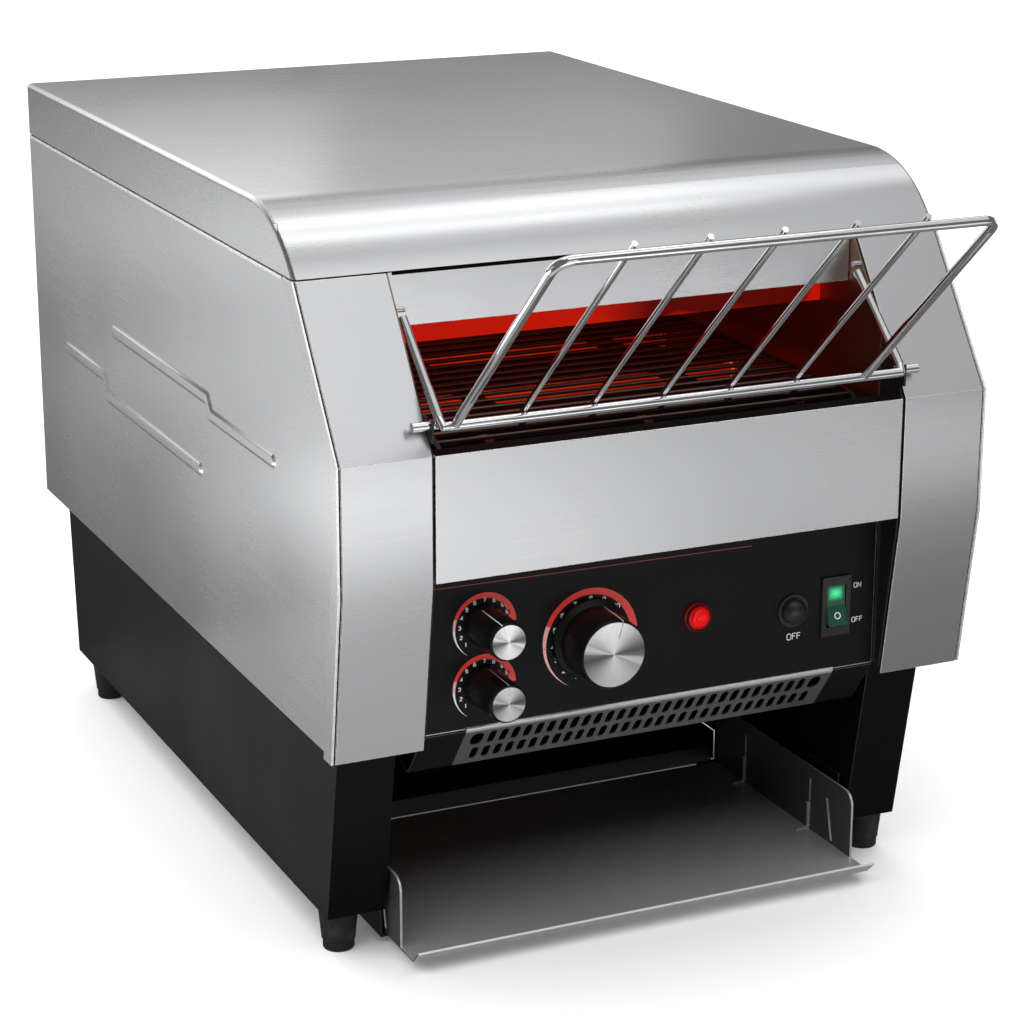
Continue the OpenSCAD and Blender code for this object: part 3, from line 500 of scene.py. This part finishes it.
# painted shade: the top flange of the front panel, under the oven mouth, is near black
group("front_panel", "shaded_fold", lambda c, n: n.z > 0.9 and c.y > deep(0.3) and c.z > 0.28)
for side in ("left", "right"):
    # painted shade in the seam beside the pillar's rim; the rim itself in the burnished edge steel,
    # lighter as a painted highlight
    group(side + "_front_pillar", "shaded_fold",
          lambda c, n: 0.18265 < abs(c.x) < 0.18395)
    group(side + "_front_pillar", "steel_edge",
          lambda c, n: abs(c.x) > 0.18395 and abs(n.x) < 0.5 and n.y < -0.3)
    # painted highlight: the lip along the top of the side panel is given the lighter edge steel
    group(side + "_side_panel", "steel_edge", lambda c, n: abs(c.x) > 0.18445 and c.z > 0.36)
# painted shade: the belt's wires at its front turn, in the shade under the mouth, are near black
group("conveyor_belt", "shaded_belt_wire", lambda c, n: c.y < deep(31))
group("discharge_chute", "shaded_chute_steel", lambda c, n: c.z < 0.06)
# painted shade: the tray's side walls are a much darker copy of the tray steel
group("discharge_tray", "tray_side_painted_shade", lambda c, n: abs(n.x) > 0.9)


# -------------------------------------------------------------- mesh building
def solid(name, verts, faces, mats, body, index=None, smooth=False):
    me = bpy.data.meshes.new(name)
    me.from_pydata([tuple(v) for v in verts], [], faces)
    for m in mats:
        me.materials.append(m)
    if index:
        for p, k in zip(me.polygons, index):
            p.material_index = k
    bm = bmesh.new()
    bm.from_mesh(me)
    bmesh.ops.recalc_face_normals(bm, faces=bm.faces)
    bm.to_mesh(me)
    bm.free()
    if smooth:
        for p in me.polygons:
            p.use_smooth = True
    me.validate()
    me.update()
    o = bpy.data.objects.new(name, me)
    bpy.context.scene.collection.objects.link(o)
    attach(o, body)
    return o


FILM = 20.0  # outer face of the printed film, behind the casing's front plane
INK = 0.05   # thickness of the ink


def band(name, cx, cz, a0, a1, r_out, t0, t1, mat, n=60, y=FILM, lift=INK):
    """Printed arc whose width grows from t0 to t1. Angles run clockwise from the top."""
    v, f = [], []
    for i in range(n + 1):
        s = i / n
        a = math.radians(a0 + (a1 - a0) * s)
        t = t0 + (t1 - t0) * s
        for r in (r_out, r_out - max(t, 0.02)):
            for d in (y - lift, y - 0.005):
                v.append(P(cx + r * math.sin(a), d, cz + r * math.cos(a)))
    for i in range(n):
        a, b = 4 * i, 4 * i + 4
        f += [(a, b, b + 2, a + 2), (a + 1, a + 3, b + 3, b + 1), (a, a + 1, b + 1, b),
              (a + 2, b + 2, b + 3, a + 3)]
    f += [(0, 2, 3, 1), (4 * n, 4 * n + 1, 4 * n + 3, 4 * n + 2)]
    return solid(name, v, f, [mat], "housing")


def strip(name, pts, w, mat, y=FILM, lift=INK, body="housing"):
    """Printed line of width w along points in X and Z."""
    v, f = [], []
    n = len(pts)
    for i in range(n):
        a, b = pts[max(i - 1, 0)], pts[min(i + 1, n - 1)]
        dx, dz = b[0] - a[0], b[1] - a[1]
        k = w / 2 / math.hypot(dx, dz)
        for s in (-1, 1):
            for d in (y - lift, y - 0.005):
                v.append(P(pts[i][0] - s * dz * k, d, pts[i][1] + s * dx * k))
    for i in range(n - 1):
        a, b = 4 * i, 4 * i + 4
        f += [(a, b, b + 2, a + 2), (a + 1, a + 3, b + 3, b + 1), (a, a + 1, b + 1, b),
              (a + 2, b + 2, b + 3, a + 3)]
    f += [(0, 2, 3, 1), (4 * n - 4, 4 * n - 3, 4 * n - 1, 4 * n - 2)]
    return solid(name, v, f, [mat], body)


# numerals and ON / OFF as single-stroke outlines, in a 4 by 6 cell
GLYPH = {
    "0": [[(0, 1), (0, 5), (1, 6), (3, 6), (4, 5), (4, 1), (3, 0), (1, 0), (0, 1)]],
    "1": [[(1, 5), (2.3, 6), (2.3, 0)]],
    "2": [[(0, 5), (1, 6), (3, 6), (4, 5), (4, 4), (0, 0), (4, 0)]],
    "3": [[(0, 5), (1, 6), (3, 6), (4, 5), (4, 4), (3, 3.1), (1.6, 3.1)],
          [(3, 3.1), (4, 2.2), (4, 1), (3, 0), (1, 0), (0, 1)]],
    "4": [[(3, 0), (3, 6), (0, 2), (4, 2)]],
    "5": [[(3.8, 6), (0.4, 6), (0.2, 3.3), (1.2, 3.8), (3, 3.8), (4, 2.8), (4, 1), (3, 0), (1, 0),
           (0, 1)]],
    "6": [[(3.8, 5.2), (3, 6), (1, 6), (0, 5), (0, 1), (1, 0), (3, 0), (4, 1), (4, 2.5), (3, 3.4),
           (1, 3.4), (0, 2.5)]],
    "7": [[(0, 6), (4, 6), (1.4, 0)]],
    "8": [[(1, 3.2), (0.2, 4), (0.2, 5.2), (1, 6), (3, 6), (3.8, 5.2), (3.8, 4), (3, 3.2),
           (1, 3.2), (0, 2.3), (0, 1), (1, 0), (3, 0), (4, 1), (4, 2.3), (3, 3.2)]],
    "9": [[(0.2, 0.8), (1, 0), (3, 0), (4, 1), (4, 5), (3, 6), (1, 6), (0, 5), (0, 3.6), (1, 2.7),
           (3, 2.7), (4, 3.6)]],
    "O": [[(0, 1.2), (0, 4.8), (1.2, 6), (3.2, 6), (4.4, 4.8), (4.4, 1.2), (3.2, 0), (1.2, 0),
           (0, 1.2)]],
    "N": [[(0, 0), (0, 6), (4, 0), (4, 6)]],
    "F": [[(0, 0), (0, 6), (3.6, 6)], [(0, 3.2), (3, 3.2)]],
}
WIDE = {"1": 3.2, "O": 4.4, "F": 3.6}


def letter(name, text, x, z, high, mat, weight=0.13, y=FILM, lift=INK):
    """Generic lettering, centred on x, z, built from flat strokes."""
    k = high / 6
    total = sum(WIDE.get(c, 4) for c in text) + 1.6 * (len(text) - 1)
    at = -total / 2
    v, f = [], []
    w = high * weight / 2
    for c in text:
        for path in GLYPH[c]:
            pts = [(x + (at + a) * k, z + (b - 3) * k) for a, b in path]
            n = len(pts)
            closed = pts[0] == pts[-1]
            base = len(v)
            for i in range(n):
                p = pts[i]
                a = pts[i - 1] if i else (pts[-2] if closed else p)
                b = pts[i + 1] if i < n - 1 else (pts[1] if closed else p)
                ax, az = p[0] - a[0], p[1] - a[1]
                bx, bz = b[0] - p[0], b[1] - p[1]
                la, lb = math.hypot(ax, az) or 1, math.hypot(bx, bz) or 1
                nx, nz = -(az / la + bz / lb), ax / la + bx / lb
                ln = math.hypot(nx, nz) or 1
                nx, nz = nx / ln, nz / ln
                d = max(0.45, abs(nx * -az / la + nz * ax / la)) if i else 1
                ex = 0
                for s in (-1, 1):
                    for yy in (y - lift, y - 0.005):
                        v.append(P(p[0] + s * nx * w / d, yy, p[1] + s * nz * w / d))
            for i in range(n - 1):
                a, b = base + 4 * i, base + 4 * i + 4
                f += [(a, b, b + 2, a + 2), (a + 1, a + 3, b + 3, b + 1), (a, a + 1, b + 1, b),
                      (a + 2, b + 2, b + 3, a + 3)]
            f += [(base, base + 2, base + 3, base + 1),
                  (base + 4 * n - 4, base + 4 * n - 3, base + 4 * n - 1, base + 4 * n - 2)]
        at += WIDE.get(c, 4) + 1.6
    return solid(name, v, f, [mat], "housing")


# the beads pressed into the side panels, as smooth swells over their stepped cores
BEADS = [[(364.2, 273.2), (193.9, 273.2), (188, 264.9), (92, 264.9)],
         [(466.6, 240.8), (388.1, 240.8), (380, 229.4), (210, 229.4)]]
ACROSS = [0, 1.4, 2.0, 2.3, 2.6, 2.9, 3.2, 3.5, 3.9, 4.3]


# upright flanges at the two sides of the chute's lower end, near black in the chute's painted shade
for side, sign in (("left", -1), ("right", 1)):
    rim = [(206.6, 5.0), (210.6, 5.0), (211.6, 12.0), (234.0, 23.2), (206.6, 23.2)]
    verts = [P(sign * x, y, z) for x in (139.7, 140.3) for y, z in rim]
    faces = [(0, 1, 2, 3, 4), (9, 8, 7, 6, 5)]
    faces += [(i, i + 5, (i + 1) % 5 + 5, (i + 1) % 5) for i in range(5)]
    if sign > 0:
        faces = [tuple(reversed(f)) for f in faces]
    solid("chute_flange_" + side, verts, faces, [M["chute_low"]], "housing")


# short ends of the fence's wires under the bottom rod
for i in range(1, 6):
    x0 = -8.5 - 115.5 + i * 38.5
    verts = []
    for run in (0.0, 8.2, 8.7):
        r = 1.5 if run < 8.5 else 1.0
        for j in range(16):
            c, t = r * math.cos(j * math.pi / 8), r * math.sin(j * math.pi / 8)
            verts.append(P(x0 + c, -1.8 + 0.7417 * run + 0.6708 * t,
                           300 - 0.6708 * run + 0.7417 * t))
    faces = [tuple(range(15, -1, -1)), tuple(range(32, 48))]
    faces += [(k + j, k + (j + 1) % 16, k + 16 + (j + 1) % 16, k + 16 + j)
              for k in (0, 16) for j in range(16)]
    solid("wire_end_%d" % i, verts, faces, [M["chrome"]], "rack", smooth=False)

# painted shadow: a dark strip under the cover's front lip, where the gap's shadow falls
verts = [P(x, y, z) for x in (-131.0, 131.0) for y, z in
         ((58.8, 363.0), (58.98, 363.0), (58.98, 365.4), (58.8, 365.4))]
faces = [(0, 1, 2, 3), (7, 6, 5, 4)] + [(i, i + 4, (i + 1) % 4 + 4, (i + 1) % 4) for i in range(4)]
solid("lip_painted_shadow", verts, faces, [M["shade"]], "housing")


def swell(r):
    if r <= 2.0:
        return 1.08
    return -0.05 if r >= 4.3 else 1.08 * 0.5 * (1 + math.cos(math.pi * (r - 2.0) / 2.3))


def pressed_bead(name, sign, pts):
    verts, seen, top = [], {}, []

    def at(y, z, h):
        key = (round(y, 4), round(z, 4), round(h, 4))
        if key not in seen:
            seen[key] = len(verts)
            verts.append(P(sign * (184 + h), y, z))
        return seen[key]

    def cell(*c):
        top.append([(y, z, swell(r)) for y, z, r in c])

    def unit(a, b):
        d = math.hypot(b[0] - a[0], b[1] - a[1])
        return ((b[0] - a[0]) / d, (b[1] - a[1]) / d)

    n, rows = len(pts), []
    for i, p in enumerate(pts):
        u = unit(pts[max(i - 1, 0)], pts[max(i, 1)])
        v = unit(pts[min(i, n - 2)], pts[min(i + 1, n - 1)])
        n1, n2 = (-u[1], u[0]), (-v[1], v[0])
        k = 1 + n1[0] * n2[0] + n1[1] * n2[1]
        rows.append((p, ((n1[0] + n2[0]) / k, (n1[1] + n2[1]) / k)))
    for (p, m), (q, w) in zip(rows, rows[1:]):
        for s in (-1, 1):
            for a, b in zip(ACROSS, ACROSS[1:]):
                cell(*((o[0] + s * r * d[0], o[1] + s * r * d[1], r)
                       for o, d, r in ((p, m, a), (q, w, a), (q, w, b), (p, m, b))))
    for (p, m), e in ((rows[0], unit(pts[1], pts[0])), (rows[-1], unit(pts[-2], pts[-1]))):
        def spot(r, j):
            f = math.pi * j / 12
            c, t = math.cos(f), math.sin(f)
            return (p[0] + r * (c * m[0] + t * e[0]), p[1] + r * (c * m[1] + t * e[1]), r)
        for j in range(12):
            for a, b in zip(ACROSS, ACROSS[1:]):
                if a:
                    cell(spot(a, j), spot(b, j), spot(b, j + 1), spot(a, j + 1))
                else:
                    cell(spot(0, j), spot(b, j), spot(b, j + 1))
    faces, edges = [], {}
    for c in top:
        up = [at(*q) for q in c]
        down = [at(y, z, -0.5) for y, z, h in c]
        faces += [up, down[::-1]]
        for i in range(len(c)):
            pair = (up[i], up[(i + 1) % len(c)])
            key = tuple(sorted(pair))
            edges[key] = None if key in edges else (pair, (down[i], down[(i + 1) % len(c)]))
    for e in edges.values():
        if e:
            (a, b), (c, d) = e
            faces.append([a, b, d, c])
    return solid(name, verts, faces, [M["steel_y"]], "housing", smooth=True)


for sign, tag in ((-1, "left"), (1, "right")):
    for k, pts in enumerate(BEADS):
        pressed_bead(f"{tag}_bead_{k + 1}", sign, pts)

# large dial
LX, LZ = -38.3, 171.0
band("speed_arc_red", LX, LZ, -68, 84, 27.3, 2.7, 4.3, M["red_ink"])
band("speed_arc_pale", LX, LZ, -153, -68.3, 27.3, 0.05, 2.65, M["pink_ink"])
SPEED = [-157, -136, -115, -95, -71, -48, -25, 0, 21, 44]
for i, a in enumerate(SPEED):
    r = math.radians(a)
    letter(f"speed_number_{i + 1}", str(i + 1), LX + 21.6 * math.sin(r), LZ + 21.6 * math.cos(r),
           2.3, M["white_ink"], 0.26)
for i, a in enumerate((-95, 44)):
    r = math.radians(a)
    strip(f"speed_tick_{i + 1}", [(LX + q * math.sin(r), LZ + q * math.cos(r)) for q in (24.2, 27.3)],
          0.25, M["line_ink"], lift=0.07)
# small dials
for k, (sx, sz) in enumerate(((-98.2, 186.6), (-98.4, 153.6))):
    tag = ("upper", "lower")[k]
    band(f"{tag}_arc_red", sx, sz, -72, 88, 17.7, 1.8, 4.0, M["red_ink"], 48)
    band(f"{tag}_arc_pink", sx, sz, -92, -72.3, 17.7, 1.4, 1.75, M["pink_ink"], 8)
    band(f"{tag}_arc_white", sx, sz, -146, -92.3, 17.7, 0.05, 1.35, M["white_ink"], 20)
    for i, a in enumerate((-130, -110, -88, -66, -45, -23, 0, 22, 45, 66)):
        r = math.radians(a)
        letter(f"{tag}_number_{i + 1}", str(i + 1), sx + 13.9 * math.sin(r),
               sz + 13.9 * math.cos(r), 1.8, M["white_ink"], 0.26)
# printed line along the top, and the words at the switch and button
strip("panel_line", [(-126, 209.6), (-60, 209.2), (0, 208.9), (40, 208.7), (56, 208.5)], 0.45,
      M["line_ink"])
letter("word_on", "ON", 122.2, 177.8, 2.6, M["white_ink"], 0.13)
letter("word_off", "OFF", 122.7, 158.2, 2.6, M["white_ink"], 0.13)
letter("word_button_off", "OFF", 83.4, 154.0, 3.3, M["white_ink"], 0.12)


def flank_line(name, at, a, stations, w, mat, body):
    """Thin line along a knob's flank, a degrees round from the top towards the left."""
    a = math.radians(a)
    ux, uz, tx, tz = -math.sin(a), math.cos(a), math.cos(a), math.sin(a)
    v, f = [], []
    for r, h in stations:
        for q in (r - 0.02, r + 0.07):
            for k in (-w / 2, w / 2):
                v.append(P(at[0] + ux * q + tx * k, 19.6 - h, at[1] + uz * q + tz * k))
    for i in range(len(stations) - 1):
        b, c = 4 * i, 4 * i + 4
        f += [(b, b + 1, c + 1, c), (b + 2, c + 2, c + 3, b + 3), (b, c, c + 2, b + 2),
              (b + 1, b + 3, c + 3, c + 1)]
    n = 4 * len(stations) - 4
    f += [(0, 2, 3, 1), (n, n + 1, n + 3, n + 2)]
    return solid(name, v, f, [mat], body)


flank_line("upper_pointer", (-98, 187), 22, [(10.64, 5), (10.2, 27.7), (9.85, 28.65)], 0.5,
           M["white_ink"], "upper_heat_control")
flank_line("lower_pointer", (-98, 154), 0, [(10.64, 5), (10.2, 27.7), (9.85, 28.65)], 0.4,
           M["grey_ink"], "lower_heat_control")
flank_line("speed_pointer", (-38.5, 171), -16, [(18.84, 5), (18.4, 26.3), (18.05, 27.25)], 0.6,
           M["white_ink"], "speed_control")

# raised ring on the rocker's lower half
v, f = [], []
cy, cz = 20.5 - 3.53, 168 - 5.0
dy, dz, ny, nz = -0.3469, -0.9379, -0.9379, 0.3469
for i in range(32):
    a = 2 * math.pi * i / 32
    for q in (1.35, 1.95):
        for k in (-0.02, 0.08):
            v.append(P(108.6 + q * math.cos(a), cy + q * math.sin(a) * dy + k * ny,
                       cz + q * math.sin(a) * dz + k * nz))
for i in range(32):
    a, b = 4 * i, 4 * ((i + 1) % 32)
    f += [(a, a + 1, b + 1, b), (a + 2, b + 2, b + 3, a + 3), (a + 1, a + 3, b + 3, b + 1),
          (a, b, b + 2, a + 2)]
solid("rocker_ring", v, f, [M["white_ink"]], "rocker")


# -------------------------------------------------------------- stage
def plane(name, corners, mat):
    me = bpy.data.meshes.new(name)
    me.from_pydata(corners, [], [(0, 1, 2, 3)])
    me.materials.append(mat)
    o = bpy.data.objects.new(name, me)
    bpy.context.scene.collection.objects.link(o)
    return o


gf = Graph("floor_white")
nf = gf.noise(gf.place((3, 3, 3)), 1, 2)
gf.set(Base_Color=gf.mix(gf.map(nf, 0.3, 0.7), (0.93, 0.93, 0.93), (0.95, 0.95, 0.95)), Roughness=0.8)
gf.b.inputs["Specular IOR Level"].default_value = 0.0
gf.set(Emission_Color=(1, 1, 1))
gf.b.inputs["Emission Strength"].default_value = 0.1
floor = plane("floor", [(-30, -30, 0), (30, -30, 0), (30, 30, 0), (-30, 30, 0)], gf.m)
floor.visible_glossy = False  # polished steel sees the cards laid on it instead

world = bpy.data.worlds.new("studio")
bpy.context.scene.world = world
world.use_nodes = True
wt = world.node_tree
bg = next(n for n in wt.nodes if n.type == "BACKGROUND")
bg.inputs["Color"].default_value = (1, 1, 1, 1)
bg.inputs["Strength"].default_value = 0.14

# soft daylight from above, for everything that isn't polished
d = bpy.data.lights.new("daylight", "SUN")
d.energy = 4.4
d.angle = math.radians(110)
sun = bpy.data.objects.new("daylight", d)
sun.rotation_euler = (math.radians(-8), math.radians(-8), 0)
sun.visible_glossy = False
bpy.context.scene.collection.objects.link(sun)

# Reflector cards, each an evenly bright rectangle that only reflections see:
# middle, width and height, the way it faces, and its level.
CARDS = {
    "floor_near_left": ((-0.15, -0.46, 0.002), (0.4, 0.4), (0, 0, 1), 0.41),
    "floor_near_right": ((0.275, -0.46, 0.002), (0.45, 0.4), (0, 0, 1), 0.09),
    "floor_far_left": ((-0.05, -1.16, 0.002), (0.7, 1.0), (0, 0, 1), 1.45),
    "floor_far_right": ((0.6, -1.16, 0.002), (0.6, 1.0), (0, 0, 1), 0.76),
    "floor_side_near": ((-0.34, 0.045, 0.002), (0.3, 0.61), (0, 0, 1), 0.26),
    "floor_side_rear": ((-0.34, 0.72, 0.002), (0.3, 0.74), (0, 0, 1), 0.06),
    "floor_side_front": ((-0.76, -0.03, 0.002), (0.54, 0.46), (0, 0, 1), 2.44),
    "floor_side_mid": ((-0.76, 0.45, 0.002), (0.54, 0.5), (0, 0, 1), 2.22),
    "floor_side_far": ((-0.76, 0.95, 0.002), (0.54, 0.5), (0, 0, 1), 0.76),
    "floor_rear_left": ((-0.87, 1.55, 0.002), (0.36, 0.7), (0, 0, 1), 1.45),
    "floor_rear_far": ((-0.42, 1.55, 0.002), (0.54, 0.7), (0, 0, 1), 0.00),
    "floor_rear_end_left": ((-0.95, 2.4, 0.002), (0.6, 1.0), (0, 0, 1), 0.54),
    "floor_rear_end": ((-0.3, 2.4, 0.002), (0.7, 1.0), (0, 0, 1), 0.00),
    "rear_low_left": ((-0.15, 0.8, 0.49), (0.7, 0.14), (0, -1, 0), 0.00),
    "rear_low_right": ((0.375, 0.8, 0.49), (0.35, 0.14), (0, -1, 0), 0.13),
    "rear_low_end": ((0.775, 0.8, 0.49), (0.45, 0.14), (0, -1, 0), 0.38),
    "rear_high_left": ((-0.15, 0.8, 0.73), (0.7, 0.34), (0, -1, 0), 1.23),
    "rear_high_right": ((0.375, 0.8, 0.73), (0.35, 0.34), (0, -1, 0), 0.54),
    "rear_high_end": ((0.775, 0.8, 0.73), (0.45, 0.34), (0, -1, 0), 0.00),
    "rear_left": ((-0.55, 1.3, 1.2), (1.2, 0.6), (0, -1, -0.3), 0.65),
    "over_rear": ((0.3, 0.95, 1.5), (2.0, 1.0), (0, 0, -1), 0.56),
    "over_mid_a": ((0.05, -0.05, 1.5), (1.3, 0.12), (0, 0, -1), 3.12),
    "over_mid_a_right": ((1.0, -0.05, 1.5), (0.6, 0.12), (0, 0, -1), 0.00),
    "over_mid_b": ((0.05, 0.075, 1.5), (1.3, 0.13), (0, 0, -1), 0.00),
    "over_mid_b_right": ((1.0, 0.075, 1.5), (0.6, 0.13), (0, 0, -1), 0.65),
    "over_mid_c": ((0.05, 0.295, 1.5), (1.3, 0.31), (0, 0, -1), 2.00),
    "over_mid_c_right": ((1.0, 0.295, 1.5), (0.6, 0.31), (0, 0, -1), 1.32),
    "over_front": ((0.3, -0.38, 1.5), (2.0, 0.54), (0, 0, -1), 0.51),
    "over_far_left": ((0.05, -1.2, 1.5), (1.3, 1.1), (0, 0, -1), 1.07),
    "over_far_right": ((1.2, -1.2, 1.5), (1.0, 1.1), (0, 0, -1), 0.5),
}

# low cards all round, for the sides and the back, and one that the beads' upper slopes see
ROOM = {
    "rear_left_low": ((-0.8, 1.3, 0.62), (0.9, 0.5), (0, -1, 0), 1.1),
    "right_wall": ((1.4, 0.35, 0.34), (1.2, 0.66), (-1, 0, 0), 0.75),
    "left_wall": ((-1.8, 0.35, 0.34), (1.4, 0.66), (1, 0, 0), 0.38),
    "back_wall": ((0.4, 1.6, 0.24), (1.0, 0.46), (0, -1, 0), 0.75),
    "front_wall": ((0.0, -2.7, 0.36), (2.0, 0.7), (0, 1, 0), 0.7),
}


def card(name, at, size, facing, level):
    d = bpy.data.lights.new(name, "AREA")
    d.shape = "RECTANGLE"
    d.size, d.size_y = size
    d.energy = level * size[0] * size[1] * math.pi
    o = bpy.data.objects.new(name, d)
    o.location = at
    o.rotation_mode = "QUATERNION"
    f = Vector(facing).normalized()
    up = Vector((0, 1, 0)) if abs(f.z) > 0.7 else Vector((0, 0, 1))
    z = -f
    x = up.cross(z).normalized()
    y = z.cross(x)
    o.rotation_quaternion = Matrix((x, y, z)).transposed().to_quaternion()
    o.visible_camera = o.visible_diffuse = False
    o.visible_transmission = False
    bpy.context.scene.collection.objects.link(o)
    return o


LAMPS = {name: card(name, *spec) for name, spec in CARDS.items()}
for name, spec in ROOM.items():
    card(name, *spec)

# red light of the upper heaters on the belt
d = bpy.data.lights.new("oven_glow", "AREA")
d.shape = "RECTANGLE"
d.size, d.size_y = 0.25, 0.05
d.color = (1.0, 0.12, 0.025)
d.energy = 0.7
glow = bpy.data.objects.new("oven_glow", d)
glow.location = P(0, 112, 345)
glow.visible_camera = glow.visible_glossy = False
bpy.context.scene.collection.objects.link(glow)

cam_data = bpy.data.cameras.new("camera")
cam_data.sensor_width = 36
cam_data.lens = 36 * 2808.14 / 1024
cam_data.clip_start, cam_data.clip_end = 0.05, 100
cam = bpy.data.objects.new("camera", cam_data)
bpy.context.scene.collection.objects.link(cam)
yaw, pitch, roll = 0.4325, -0.2988, 0.0019
F = Vector((math.sin(yaw) * math.cos(pitch), math.cos(yaw) * math.cos(pitch), math.sin(pitch)))
R = Vector((math.cos(yaw), -math.sin(yaw), 0))
U = R.cross(F)
R, U = (math.cos(roll) * R + math.sin(roll) * U, -math.sin(roll) * R + math.cos(roll) * U)
cam.matrix_world = Matrix((
    (R.x, U.x, -F.x, -0.6490245), (R.y, U.y, -F.y, -1.2059562 + Y0 / 1000),
    (R.z, U.z, -F.z, 0.6608455), (0, 0, 0, 1)))
bpy.context.scene.camera = cam
bpy.context.scene.view_settings.view_transform = "Standard"
bpy.context.scene.view_settings.look = "None"
